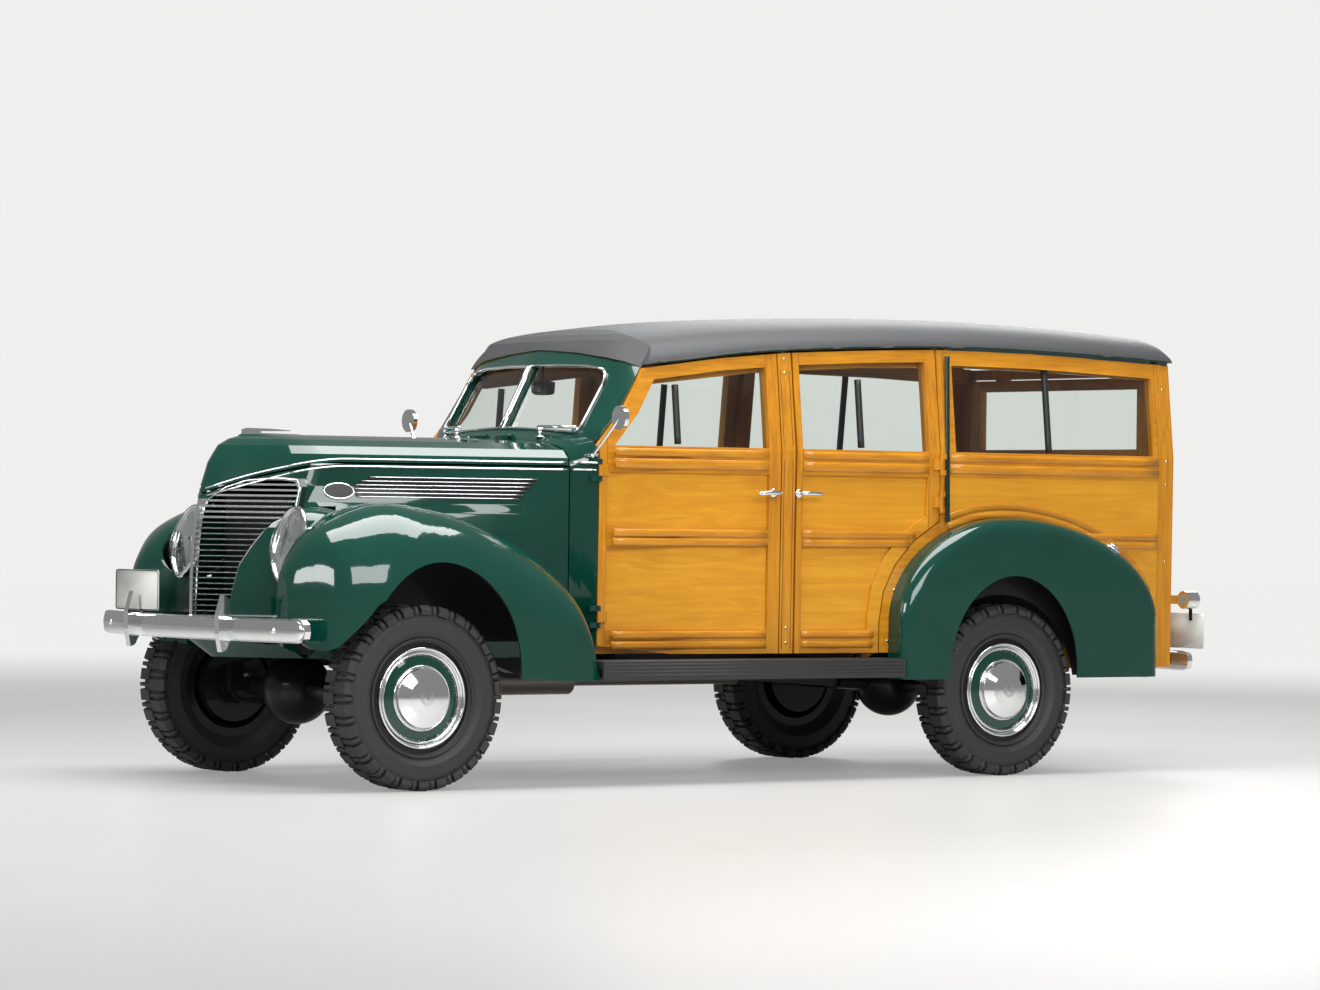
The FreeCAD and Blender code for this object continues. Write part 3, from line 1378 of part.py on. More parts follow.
def transverse_spring(x, top_z, axle_x):
    leaves = []
    for index in range(spring_leaves):
        reach = spring_half * (1 - index / spring_leaves * 0.82)
        z = top_z - spring_leaf * (spring_leaves - index)
        drop = (top_z - spring_end_z - spring_leaf * spring_leaves) * (reach / spring_half) ** 2
        low_right, high_right = V(x, reach, z - drop), V(x, reach, z - drop + spring_leaf)
        low_left, high_left = V(x, -reach, z - drop), V(x, -reach, z - drop + spring_leaf)
        lower = Part.Arc(low_left, V(x, 0, z), low_right).toShape()
        upper = Part.Arc(high_right, V(x, 0, z + spring_leaf), high_left).toShape()
        wire = Part.Wire([lower, line(low_right, high_right), upper, line(high_left, low_left)])
        leaves.append(Part.Face(wire).extrude(V(spring_width, 0, 0)))
    hangers = []
    for sign in (1, -1):
        y = sign * (spring_half - shackle)
        hangers.append(box(axle_x, x + (spring_width / 2), y - shackle, y + shackle, axle_z - shackle, axle_z + shackle))
        hangers.append(box(x, x + spring_width, y - shackle, y + shackle, axle_z - shackle, spring_end_z + spring_leaf))
    return fused(leaves + hangers)


tank_front_x = rear_axle_x - 330.0
tank_rear_x = tail_x + 160.0
tank_half = rail_half - rail_width - seat_gap
tank_low_z = 440.0
tank_high_z = 630.0
pipe_r = 25.0
muffler_r = 60.0
muffler_length = 620.0
exhaust_y = 470.0
exhaust_z = outrigger_low_z - seat_gap - muffler_r
down_pipe_x = 1260.0
down_pipe_z = 450.0


def exhaust_run():
    # From the side of the engine, under the frame rail, to the silencer and the tail
    down_y = -engine_half - seat_gap - pipe_r
    top = V(down_pipe_x, down_y, engine_low_z + muffler_r)
    bend = V(down_pipe_x, down_y, down_pipe_z)
    turn = V(down_pipe_x - overrun * 3, -exhaust_y, exhaust_z)
    start = V(case_front_x, -exhaust_y, exhaust_z)
    stop = start - V(muffler_length, 0, 0)
    tail = V(rear_axle_x + exhaust_y, -exhaust_y, exhaust_z)
    pipes = [bar(first, second, pipe_r) for first, second in ((top, bend), (bend, turn), (turn, start), (stop, tail))]
    bends = [Part.makeSphere(pipe_r, point) for point in (bend, turn)]
    return fused([bar(start, stop, muffler_r)] + pipes + bends)


def build_under():
    top_z = rail_high_z + rail_kick - skin - member_depth - seat_gap
    front = transverse_spring(front_axle_x - spring_width / 2 + spring_lead, top_z, front_axle_x)
    rear = transverse_spring(rear_axle_x - spring_width / 2 - spring_lead, top_z, rear_axle_x)
    save("front_axle", fused([front, front_axle()]))
    save("rear_axle", fused([rear, rear_axle()]))
    tank = box(tank_rear_x, tank_front_x, -tank_half, tank_half, tank_low_z, tank_high_z)
    save("fuel_tank", tank.makeFillet(seat_round, tank.Edges))
    save("exhaust", exhaust_run())


# Bumpers

bumper_z = 610.0
bumper_height = 92.0
bumper_thickness = 26.0
bumper_half = 791.0
bumper_bow = 115.0
bumper_front_x = half_length - 20.0
guard_y = 360.0
guard_low = 88.0
guard_high = 130.0
guard_width = 34.0
guard_depth = 56.0
rear_bumper_z = 467.0
rear_bumper_height = 76.0
rear_bow = 95.0
bracket_width = 14.0
bumper_end_shares = ((0.94, -1.0), (0.975, -0.9), (0.993, -0.6), (1.0, 0.0), (0.993, 0.6), (0.975, 0.9), (0.94, 1.0))


def bowed_bar(tip_x, sign, z, height, half, bow):
    outer = Part.Arc(V(tip_x - sign * bow, -half, z), V(tip_x, 0, z), V(tip_x - sign * bow, half, z)).toShape()
    back = bumper_thickness * sign
    inner = Part.Arc(V(tip_x - sign * bow - back, half, z), V(tip_x - back, 0, z), V(tip_x - sign * bow - back, -half, z)).toShape()
    end_x = tip_x - sign * bow
    left = line(V(end_x, half, z), V(end_x - back, half, z))
    right = line(V(end_x - back, -half, z), V(end_x, -half, z))
    solid = Part.Face(Part.Wire([outer, left, inner, right])).extrude(V(0, 0, height)).translated(V(0, 0, -height / 2))
    edges = [edge for edge in solid.Edges if edge.Length > half]
    solid = solid.makeFillet(bumper_thickness * 0.45, edges)
    end = [(half * across, z + height / 2 * up) for across, up in bumper_end_shares]
    return solid.common(prism_x(end + [(-y, level) for y, level in reversed(end)], -half_length, half_length))


def guard(tip_x, sign, y, z, low, high):
    rows = ((0.25, -low), (0.0, -low * 0.2), (0.0, high * 0.4), (0.4, high), (0.75, high * 0.9), (1.0, high * 0.2), (1.0, -low * 0.4), (0.6, -low * 0.9))
    outline = [(tip_x - sign * guard_depth * back, z + rise) for back, rise in rows]
    return prism_y(outline, y - guard_width / 2, y + guard_width / 2)


def build_bumpers():
    bar_solid = bowed_bar(bumper_front_x, 1, bumper_z, bumper_height, bumper_half, bumper_bow)
    guards = both_sides([guard(half_length, 1, guard_y, bumper_z, guard_low, guard_high)])
    arm_y0, arm_y1 = rail_half + seat_gap, rail_half + bracket_width
    bow_here = bumper_bow * (rail_half / bumper_half) ** 2
    front_end = bumper_front_x - bow_here - bumper_thickness / 2
    arms = both_sides([box(rail_front_x - overrun * 2, front_end, arm_y0, arm_y1, bumper_z - overrun, bumper_z + overrun * 0.6)])
    save("front_bumper", fused([bar_solid] + guards + arms))
    rear_tip = -half_length + (half_length - bumper_front_x)
    rear_bar = bowed_bar(rear_tip, -1, rear_bumper_z, rear_bumper_height, bumper_half, rear_bow)
    rear_guards = both_sides([guard(-half_length, -1, guard_y, rear_bumper_z, guard_low, guard_high)])
    rear_end = rear_tip + rear_bow * (rail_half / bumper_half) ** 2 + bumper_thickness / 2
    arm_low, arm_high = rear_bumper_z - overrun * 0.4, rail_high_z + overrun
    rear_arms = both_sides([box(rail_rear_x + overrun * 2, rear_end, arm_y0, arm_y1, arm_low, arm_high)])
    save("rear_bumper", fused([rear_bar] + rear_guards + rear_arms))


# Lamps, mirrors and the hood ornament

lamp_y = 393.0
lamp_top_z = 1072.0
lamp_low_z = 800.0
lamp_half = 98.0
lamp_x = 1995.0
lamp_lean = 70.0
lamp_bulge = 55.0
pod_length = 170.0
tail_lamp_x = tail_x - 58.0
tail_lamp_y = 790.0
tail_lamp_z = 728.0
tail_lamp_r = 38.0
mirror_x = 765.0
mirror_y = 782.0
mirror_z = 1444.0
mirror_r = 48.0
mirror_seat = 36.0
arm_radius = 6.0
drop_shares = ((0.0, 1.0), (0.55, 0.93), (0.9, 0.74), (1.0, 0.52), (0.85, 0.28), (0.45, 0.10), (0.0, 0.0))


def lamp_ring(x_front, scale, low_lead):
    height = lamp_top_z - lamp_low_z
    mid = lamp_low_z + height * 0.55
    left = []
    for across, up in drop_shares:
        z = mid + (lamp_low_z + height * up - mid) * scale
        lead = lamp_lean * (lamp_top_z - z) / height * low_lead
        left.append(V(x_front + lead, lamp_half * across * scale, z))
    right = [V(p.x, -p.y, p.z) for p in reversed(left[1:-1])]
    curve = Part.BSplineCurve()
    curve.interpolate(left + right, PeriodicFlag=True)
    wire = Part.Wire([curve.toShape()])
    wire.translate(V(0, lamp_y, 0))
    return wire


def headlamp_room():
    # All that the lamp and its glass take up, with the way to the front
    back_x = lamp_x - pod_length
    rings = [lamp_ring(back_x, 1.1, 1.3), lamp_ring(lamp_x, 1.08, 1.0), lamp_ring(lamp_x + pod_length, 1.08, 1.0)]
    return Part.makeLoft(rings, True, True)


def headlamp_pod():
    back_x, middle_x = lamp_x - pod_length, lamp_x - pod_length * 0.4
    rings = [lamp_ring(back_x, 0.95, 1.3), lamp_ring(middle_x, 1.06, 1.2), lamp_ring(lamp_x - seat_gap, 1.04, 1.0)]
    return Part.makeLoft(rings, True, False)


ornament_length = 255.0
ornament_lead = 481.0
# Along the ornament from its nose, and its height
ornament_shares = ((0.0, 0.0), (0.0, 0.75), (0.08, 1.0), (0.45, 0.95), (0.82, 0.75), (0.82, 0.62), (0.30, 0.50), (0.30, 0.22), (1.0, 0.12), (1.0, 0.0))
ornament_height = 24.0


def hood_ornament():
    nose_x = prow_x - ornament_lead + ornament_length
    top = hood_level_shares[-1] * moulding_z
    outline = [(nose_x - ornament_length * along, top + seat_gap + ornament_height * height) for along, height in ornament_shares]
    return prism_y(outline, -skin, skin)


def build_lamps():
    rings = [lamp_ring(lamp_x, 1.0, 1.0), lamp_ring(lamp_x + lamp_bulge * 0.6, 0.86, 1.0), lamp_ring(lamp_x + lamp_bulge, 0.45, 1.0)]
    save("headlamp_lenses", both_sides([Part.makeLoft(rings, True, False)]))
    lamp_start = V(tail_lamp_x + overrun, tail_lamp_y, tail_lamp_z)
    body = bar(lamp_start, lamp_start - V(overrun * 1.6, 0, 0), tail_lamp_r)
    arm_half = arm_radius * 3
    arm_y0 = side_width(tail_x) - wall
    arm = box(lamp_start.x - skin, tail_x - seat_gap, arm_y0, tail_lamp_y, tail_lamp_z - arm_half, tail_lamp_z + arm_half)
    save("tail_lamps", both_sides([body.fuse(arm)]))
    centre = V(mirror_x, mirror_y, mirror_z)
    head = bar(centre + V(arm_radius, 0, 0), centre - V(arm_radius * 2, 0, 0), mirror_r)
    foot = V(door_front_x + mirror_seat, side_width(door_front_x), belt_z - mirror_seat)
    pad = bar(foot, foot - V(0, mirror_r, 0), arm_radius * 1.6)
    elbow = Part.makeSphere(arm_radius * 1.6, foot)
    stem = bar(centre, foot, arm_radius)
    save("mirrors", both_sides([fused([head, pad, elbow, stem]).cut(cowl_hull(-seat_gap))]))


os.makedirs("parts", exist_ok=True)
build_doors()
build_sides()
build_gates()
build_roof()
build_cowl()
build_grille()
build_front()
build_front_fenders()
build_rear_fenders()
build_boards()
build_frame()
build_knuckles()
build_wheels()
build_floor()
build_seats()
build_steering()
build_machinery()
build_under()
build_bumpers()
build_lamps()
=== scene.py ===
from functools import partial
from math import atan, atan2, cos, exp, hypot, pi, radians, sin, sqrt

import bpy
from mathutils import Matrix, Vector
from mathutils.bvhtree import BVHTree


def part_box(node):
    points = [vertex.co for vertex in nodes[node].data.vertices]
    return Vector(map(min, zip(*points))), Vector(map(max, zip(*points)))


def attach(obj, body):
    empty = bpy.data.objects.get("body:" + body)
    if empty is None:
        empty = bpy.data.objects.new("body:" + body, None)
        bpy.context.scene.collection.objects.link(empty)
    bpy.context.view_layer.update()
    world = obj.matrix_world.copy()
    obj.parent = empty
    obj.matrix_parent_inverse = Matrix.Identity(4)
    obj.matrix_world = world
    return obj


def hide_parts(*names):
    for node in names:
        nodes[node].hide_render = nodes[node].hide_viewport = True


# The looks of a wood-bodied station wagon, in metres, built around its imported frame.
# X forward, Y to the left, Z up, with the ground at zero.

scene = bpy.context.scene
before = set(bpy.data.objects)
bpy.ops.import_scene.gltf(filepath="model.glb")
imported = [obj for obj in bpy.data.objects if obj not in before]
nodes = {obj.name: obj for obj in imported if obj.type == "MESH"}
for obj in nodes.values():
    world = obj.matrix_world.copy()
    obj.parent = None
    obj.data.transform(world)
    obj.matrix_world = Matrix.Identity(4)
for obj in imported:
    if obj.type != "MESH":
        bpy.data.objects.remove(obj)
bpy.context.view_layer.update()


def at(x, y, z):
    return Vector((x, y, z))


AHEAD = at(1, 0, 0)
LEFT = at(0, 1, 0)
UP = at(0, 0, 1)


# Measuring the frame: rays start outside the car and find its surface

FAR_SIDE = 1.2
FAR_TOP = 2.4
FAR_FRONT = 2.6


def tree_of(*names):
    verts, polys = [], []
    for name in names:
        mesh = nodes[name].data
        start = len(verts)
        verts += [vertex.co.copy() for vertex in mesh.vertices]
        polys += [[start + index for index in face.vertices] for face in mesh.polygons]
    return BVHTree.FromPolygons(verts, polys)


def hit_side(tree, x, z):
    return tree.ray_cast(at(x, FAR_SIDE, z), -LEFT)[:2]


def hit_top(tree, x, y):
    return tree.ray_cast(at(x, y, FAR_TOP), -UP)[:2]


def hit_front(tree, y, z):
    return tree.ray_cast(at(FAR_FRONT, y, z), -AHEAD)[:2]


def spaced(low, high, steps):
    # Even steps from low to high, with both ends
    return [low + (high - low) * step / steps for step in range(steps + 1)]


def turns(count):
    return [2 * pi * index / count for index in range(count)]


# Materials

PAINT_SPECULAR = 0.15
PAINT_COAT_ROUGHNESS = 0.03
PEEL_SCALE = 260.0
PEEL_DEPTH = 0.0006
SCRATCH_DEPTH = 0.0004


def feed(tree, socket, value):
    # An input takes another node's output or a value
    if isinstance(value, bpy.types.NodeSocket):
        tree.links.new(value, socket)
    else:
        socket.default_value = value


def put(tree, node, **values):
    # Feeds inputs; a name's underscores stand for spaces
    for key, value in values.items():
        feed(tree, node.inputs[key.replace("_", " ")], value)


def add_node(tree, kind, **values):
    # Names in small letters are the node's settings, the others are its inputs
    node = tree.nodes.new(kind)
    for key, value in values.items():
        if key[0].islower():
            setattr(node, key, value)
        else:
            put(tree, node, **{key: value})
    return node


def new_material(name):
    material = bpy.data.materials.new(name)
    material.use_nodes = True
    tree = material.node_tree
    return material, tree, tree.nodes["Principled BSDF"]


def place_node(tree, scale=(1, 1, 1)):
    source = add_node(tree, "ShaderNodeTexCoord")
    mapping = add_node(tree, "ShaderNodeMapping", Scale=scale, Vector=source.outputs["Object"])
    return mapping.outputs["Vector"]


def noise_node(tree, vector, scale, detail=4.0, rough=0.55, distortion=0.0):
    node = add_node(tree, "ShaderNodeTexNoise", Vector=vector, Scale=scale, Detail=detail,
                    Roughness=rough, Distortion=distortion)
    return node.outputs["Fac"]


def ramp_node(tree, factor, stops):
    node = add_node(tree, "ShaderNodeValToRGB", Fac=factor)
    ramp = node.color_ramp
    while len(ramp.elements) < len(stops):
        ramp.elements.new(0.5)
    for element, (place, color) in zip(ramp.elements, stops):
        element.position = place
        element.color = (*color, 1)
    return node.outputs["Color"]


def bump_node(tree, shader, height, strength, distance):
    bump = add_node(tree, "ShaderNodeBump", Strength=strength, Distance=distance, Height=height)
    put(tree, shader, Normal=bump.outputs["Normal"])
    return bump.outputs["Normal"]


def math_node(operation, tree, first, second):
    node = add_node(tree, "ShaderNodeMath", operation=operation)
    for socket, value in zip(node.inputs, (first, second)):
        feed(tree, socket, value)
    return node.outputs[0]


plus = partial(math_node, "ADD")
times = partial(math_node, "MULTIPLY")
larger = partial(math_node, "MAXIMUM")


def mix_colors(tree, factor, first, second):
    # A colour mix has its factor at input 0, its colours at 6 and 7 and its result at output 2
    node = add_node(tree, "ShaderNodeMix", data_type="RGBA", blend_type="MIX")
    for index, value in ((0, factor), (6, first), (7, second)):
        feed(tree, node.inputs[index], value)
    return node.outputs[2]


def mix_shaders(tree, share, first, second):
    # The surface shows the second shader by that share, and the first one by the rest
    mix = add_node(tree, "ShaderNodeMixShader", Fac=share)
    feed(tree, mix.inputs[1], first.outputs[0])
    feed(tree, mix.inputs[2], second.outputs[0])
    put(tree, tree.nodes["Material Output"], Surface=mix.outputs["Shader"])


def tint(tree, shader, tone, color, dark, light, spread=0.2):
    # The base colour goes from a darker to a lighter shade of one colour
    low, high = (tuple(channel * share for channel in color) for share in (dark, light))
    put(tree, shader, Base_Color=ramp_node(tree, tone, ((0.5 - spread, low), (0.5 + spread, high))))


def painted(name, color, roughness=0.12, coat=1.0, grain=0.02):
    material, tree, shader = new_material(name)
    vector = place_node(tree)
    tint(tree, shader, noise_node(tree, vector, 3.0), color, 0.88, 1.1)
    put(tree, shader, Roughness=roughness, Specular_IOR_Level=PAINT_SPECULAR, Coat_Weight=coat,
        Coat_Roughness=PAINT_COAT_ROUGHNESS)
    bump_node(tree, shader, noise_node(tree, vector, PEEL_SCALE, 2.0), grain, PEEL_DEPTH)
    return material


def metal(name, color, roughness, scratch_scale=90.0, strength=0.03):
    material, tree, shader = new_material(name)
    tone = noise_node(tree, place_node(tree, (1, 1, 3)), scratch_scale, 5.0)
    tint(tree, shader, tone, color, 0.9, 1.0, 0.25)
    span = add_node(tree, "ShaderNodeMapRange", Value=tone, To_Min=roughness * 0.7, To_Max=roughness * 1.4)
    put(tree, shader, Metallic=1.0, Roughness=span.outputs["Result"])
    bump_node(tree, shader, tone, strength, SCRATCH_DEPTH)
    return material


def rough(name, color, roughness, scale, strength, distance, spread=0.25):
    material, tree, shader = new_material(name)
    tone = noise_node(tree, place_node(tree), scale, 6.0, 0.65)
    tint(tree, shader, tone, color, 1 - spread, 1 + spread)
    put(tree, shader, Roughness=roughness)
    bump_node(tree, shader, tone, strength, distance)
    return material


def glass(name, color, roughness=0.0, flutes=0.0):
    # Clear, with a share of gloss that grows towards the edges, and slightly wavy or fluted
    material, tree, shader = new_material(name)
    tree.nodes.remove(shader)
    clear = add_node(tree, "ShaderNodeBsdfTransparent", Color=(*color, 1))
    gloss = add_node(tree, "ShaderNodeBsdfGlossy", Roughness=roughness)
    weight = add_node(tree, "ShaderNodeLayerWeight", Blend=0.5)
    edge = math_node("POWER", tree, weight.outputs["Facing"], 5.0)
    mix_shaders(tree, plus(tree, times(tree, edge, 0.9), 0.035), clear, gloss)
    vector = place_node(tree)
    if flutes:
        ribs = add_node(tree, "ShaderNodeTexWave", bands_direction="Y", Scale=flutes, Vector=vector)
        normal = bump_node(tree, gloss, ribs.outputs["Fac"], 0.9, 0.004)
    else:
        normal = bump_node(tree, gloss, noise_node(tree, vector, 2.0, 1.0), 0.04, 0.01)
    put(tree, weight, Normal=normal)
    return material


FRAME_WOOD = ((0.43, 0.155, 0.008), (0.56, 0.225, 0.011), (0.66, 0.285, 0.016))
PANEL_WOOD = ((0.58, 0.235, 0.011), (0.66, 0.29, 0.015), (0.74, 0.35, 0.024))
FRAME_SCALE = 60.0
PANEL_SCALE = 22.0
ALONG_SHARE = 0.055
STREAK_SHARE = 0.72
SEAM_HALF = 0.0008
SEAM_COLOR = (0.1, 0.035, 0.008, 1)


def grain_color(tree, along, scale, colors, figure):
    # Streaks along one axis, with slow colour changes across the boards
    stretch = [scale, scale, scale]
    stretch[along] = scale * ALONG_SHARE
    streaks = noise_node(tree, place_node(tree, stretch), 1.0, 7.0, 0.62, figure)
    slow = noise_node(tree, place_node(tree, (2.2, 2.2, 2.2)), 1.4, 2.0)
    total = plus(tree, times(tree, streaks, STREAK_SHARE), times(tree, slow, 1 - STREAK_SHARE))
    return ramp_node(tree, total, tuple(zip((0.34, 0.5, 0.66), colors))), streaks


def inside_range(tree, coordinate, low, high):
    above = math_node("GREATER_THAN", tree, coordinate, low)
    below = math_node("LESS_THAN", tree, coordinate, high)
    return times(tree, above, below)


def wood(name, stiles=(), panels=(), along=0):
    # Varnished boards with the grain along one axis, and along Z in the stiles.
    # Stiles are (low, high) on that axis, panels are (x0, x1, z0, z1).
    material, tree, shader = new_material(name)
    color, streaks = grain_color(tree, along, FRAME_SCALE, FRAME_WOOD, 0.4)
    source = add_node(tree, "ShaderNodeTexCoord")
    split = add_node(tree, "ShaderNodeSeparateXYZ", Vector=source.outputs["Object"])
    run = split.outputs["XYZ"[along]]
    if panels:
        mask = 0
        for x0, x1, z0, z1 in panels:
            across = inside_range(tree, split.outputs["X"], x0, x1)
            upward = inside_range(tree, split.outputs["Z"], z0, z1)
            mask = larger(tree, mask, times(tree, across, upward))
        color = mix_colors(tree, mask, color, grain_color(tree, 0, PANEL_SCALE, PANEL_WOOD, 1.6)[0])
    if stiles:
        mask = seam = 0
        for ends in stiles:
            mask = larger(tree, mask, inside_range(tree, run, *ends))
            for edge in ends:
                line = inside_range(tree, run, edge - SEAM_HALF, edge + SEAM_HALF)
                seam = larger(tree, seam, line)
        color = mix_colors(tree, mask, color, grain_color(tree, 2, FRAME_SCALE, FRAME_WOOD, 0.4)[0])
        color = mix_colors(tree, seam, color, SEAM_COLOR)
    put(tree, shader, Base_Color=color, Roughness=0.32, Specular_IOR_Level=0.2, Coat_Weight=0.7,
        Coat_Roughness=0.06)
    bump_node(tree, shader, streaks, 0.05, 0.0005)
    return material


green = painted("green_paint", (0.0022, 0.047, 0.032))
green_trim = painted("green_trim", (0.0015, 0.022, 0.016), 0.25, 0.6)
black = painted("black_paint", (0.012, 0.012, 0.013), 0.35, 0.2, 0.1)
horn = painted("wheel_rim_plastic", (0.025, 0.017, 0.012), 0.2)
red_glass = painted("tail_glass", (0.35, 0.012, 0.01), 0.08)
plate_white = painted("plate_paint", (0.72, 0.72, 0.69), 0.35, 0.3)
chrome = metal("chrome", (0.86, 0.87, 0.88), 0.06, 60.0, 0.01)
satin_metal = metal("satin_metal", (0.42, 0.44, 0.43), 0.2, 120.0)
dull_steel = metal("dull_steel", (0.32, 0.29, 0.26), 0.45, 40.0, 0.15)
lamp_silver = metal("lamp_silver", (0.92, 0.93, 0.94), 0.1, 30.0, 0.02)
brass = metal("brass_screws", (0.62, 0.48, 0.26), 0.22, 200.0)
iron = rough("cast_iron", (0.045, 0.043, 0.04), 0.7, 160.0, 0.4, 0.002)
roof_cloth = rough("roof_cloth", (0.062, 0.064, 0.067), 0.5, 420.0, 0.8, 0.002, 0.45)
tyre_rubber = rough("tyre_rubber", (0.024, 0.024, 0.024), 0.6, 220.0, 0.3, 0.0012)
board_rubber = rough("board_rubber", (0.026, 0.026, 0.027), 0.45, 200.0, 0.2, 0.001)
mat_rubber = rough("mat_rubber", (0.03, 0.028, 0.026), 0.8, 150.0, 0.3, 0.001)
leather = rough("seat_leather", (0.16, 0.07, 0.03), 0.42, 300.0, 0.35, 0.0012)
channel_black = rough("window_channel", (0.016, 0.016, 0.017), 0.5, 240.0, 0.2, 0.0008)
dark_seam = rough("seam_shadow", (0.06, 0.025, 0.008), 0.6, 90.0, 0.2, 0.0005)
pane = glass("window_glass", (0.945, 0.965, 0.95))
lens = glass("lamp_glass", (0.93, 0.95, 0.95), 0.02, 42.0)

LOW_PANEL = (0.606, 0.942)
QUARTER_LOW_PANEL = (0.5, 0.942)
HIGH_PANEL = (1.01, 1.232)
FRONT_STILES = ((-0.064, -0.008), (0.7314, 0.8))
REAR_STILES = ((-0.858, -0.801), (-0.169, -0.14))
QUARTER_STILES = ((-0.14, -0.06), (-0.9, -0.85), (-2.14, -2.05))
GATE_STILES = ((-0.612, -0.545), (-0.022, 0.022), (0.545, 0.612))


def panel_row(x0, x1, *levels):
    return [(x0, x1, *level) for level in levels]


wood_front = wood("wood_front_door", FRONT_STILES, panel_row(-0.008, 0.7314, LOW_PANEL, HIGH_PANEL))
wood_rear = wood("wood_rear_door", REAR_STILES, panel_row(-0.801, -0.169, LOW_PANEL, HIGH_PANEL))
wood_sides = wood("wood_sides", QUARTER_STILES, panel_row(-2.05, -0.9, HIGH_PANEL, QUARTER_LOW_PANEL))
wood_gates = wood("wood_gates", GATE_STILES, along=1)
wood_posts = wood("wood_posts", along=2)
wood_rails = wood("wood_rails")
wood_roof = wood("wood_roof")


# The solids' materials

HALF_TRACK = 0.72
AXLE_Z = 0.355
FRONT_AXLE_X = 1.665
REAR_AXLE_X = -1.18
CORNERS = {
    "front_left": (FRONT_AXLE_X, 1), "front_right": (FRONT_AXLE_X, -1), "rear_left": (REAR_AXLE_X, 1),
    "rear_right": (REAR_AXLE_X, -1)}


def dress(name, materials, choose=lambda middle, normal: 0):
    # Each face takes the material that choose() numbers by its middle and its normal
    mesh = nodes[name].data
    mesh.materials.clear()
    for material in materials:
        mesh.materials.append(material)
    for face in mesh.polygons:
        face.material_index = int(choose(face.center, face.normal))


# The solids in one material each
PLAIN = {
    green: ("cowl", "front_panels"),
    wood_gates: ("liftgate", "tailgate"),
    black: ("chassis_frame", "front_axle", "rear_axle", "knuckle_front_left", "knuckle_front_right",
            "tie_rod", "fuel_tank"),
    chrome: ("front_bumper", "rear_bumper", "mirrors"),
    iron: ("driveline", "engine"),
    dull_steel: ("exhaust",),
    tyre_rubber: ["tyre_" + corner for corner in CORNERS],
    board_rubber: ("running_boards",),
    mat_rubber: ("floor",),
    pane: ["glass_door_" + corner for corner in CORNERS] + ["glass_fixed", "glass_liftgate"],
    lens: ("headlamp_lenses",),
    leather: ("seats",),
    horn: ("steering_wheel",),
}
for material, names in PLAIN.items():
    for name in names:
        dress(name, (material,))

CAP_R = 0.122
DISC_R = 0.166
RING_R = 0.195
WHEEL_INSIDE = HALF_TRACK + 0.02


def wheel_choice(axle_x):
    # Bright on the cap and the ring, green on the disc between them, and black elsewhere
    def choose(middle, normal):
        radius = hypot(middle.x - axle_x, middle.z - AXLE_Z)
        if abs(middle.y) < WHEEL_INSIDE or radius > RING_R:
            return 2
        return 0 if radius < CAP_R or radius > DISC_R else 1
    return choose


for corner, (axle_x, side) in CORNERS.items():
    dress("wheel_" + corner, (chrome, green, black), wheel_choice(axle_x))

ORNAMENT_FOOT = 1.3612
ORNAMENT_HALF = 0.0106
ROOF_FRONT_X = 0.42
WELL_END = 1.92
PROW_HALF = 0.013
# How far a normal leans for a face that looks down, inward, or along the car
DOWNWARD = -0.25
INWARD = -0.3
LENGTHWAYS = 0.7


def end_choice(middle, normal):
    return abs(normal.x) > LENGTHWAYS


def hood_choice(middle, normal):
    return abs(middle.y) < ORNAMENT_HALF and middle.z > ORNAMENT_FOOT


def roof_choice(middle, normal):
    return normal.z < DOWNWARD or (abs(normal.x) > 0.97 and middle.x < ROOF_FRONT_X)


def fender_choice(middle, normal):
    inward = normal.y * (1 if middle.y > 0 else -1)
    return middle.x < WELL_END and (normal.z < DOWNWARD or inward < INWARD)


dress("body_sides", (wood_sides, wood_posts), end_choice)
for side in ("left", "right"):
    dress("door_front_" + side, (wood_front, wood_posts), end_choice)
    dress("door_rear_" + side, (wood_rear, wood_posts), end_choice)
dress("hood", (green, chrome), hood_choice)
dress("roof", (roof_cloth, wood_roof), roof_choice)
for name in ("fenders_front", "fenders_rear"):
    dress(name, (green, black), fender_choice)
dress("grille", (green_trim, chrome), lambda middle, normal: abs(middle.y) < PROW_HALF)
dress("tail_lamps", (chrome, red_glass), lambda middle, normal: normal.x < -LENGTHWAYS)


# Making pieces. A part is a list of points and a list of faces.


def add_object(name, data):
    obj = bpy.data.objects.new(name, data)
    scene.collection.objects.link(obj)
    return obj


def make_piece(name, part, material, body="body", smooth=True):
    verts, faces = part
    mesh = bpy.data.meshes.new(name)
    mesh.from_pydata([tuple(v) for v in verts], [], faces)
    mesh.validate()
    mesh.materials.append(material)
    for face in mesh.polygons:
        face.use_smooth = smooth
    obj = add_object(name, mesh)
    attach(obj, body)
    return obj


def join_parts(parts):
    verts, faces = [], []
    for part_verts, part_faces in parts:
        start = len(verts)
        verts += list(part_verts)
        faces += [tuple(start + index for index in face) for face in part_faces]
    return verts, faces


def turned_faces(faces):
    return [tuple(reversed(face)) for face in faces]


def flip(part):
    # The same part on the other side of the car
    verts, faces = part
    return [at(v[0], -v[1], v[2]) for v in verts], turned_faces(faces)


def both(name, part, material, body="body"):
    make_piece(name, join_parts([part, flip(part)]), material, body)


def door_pair(name, part, material, door):
    # The same piece on the left and on the right door
    for side, one in (("left", part), ("right", flip(part))):
        make_piece(name + door + "_" + side, one, material, "door_" + door + "_" + side)


def rounded(wide, high, count=8):
    return [(cos(angle) * wide, sin(angle) * high) for angle in turns(count)]


def flat(half, low, high):
    return [(-half, low), (half, low), (half, high), (-half, high)]


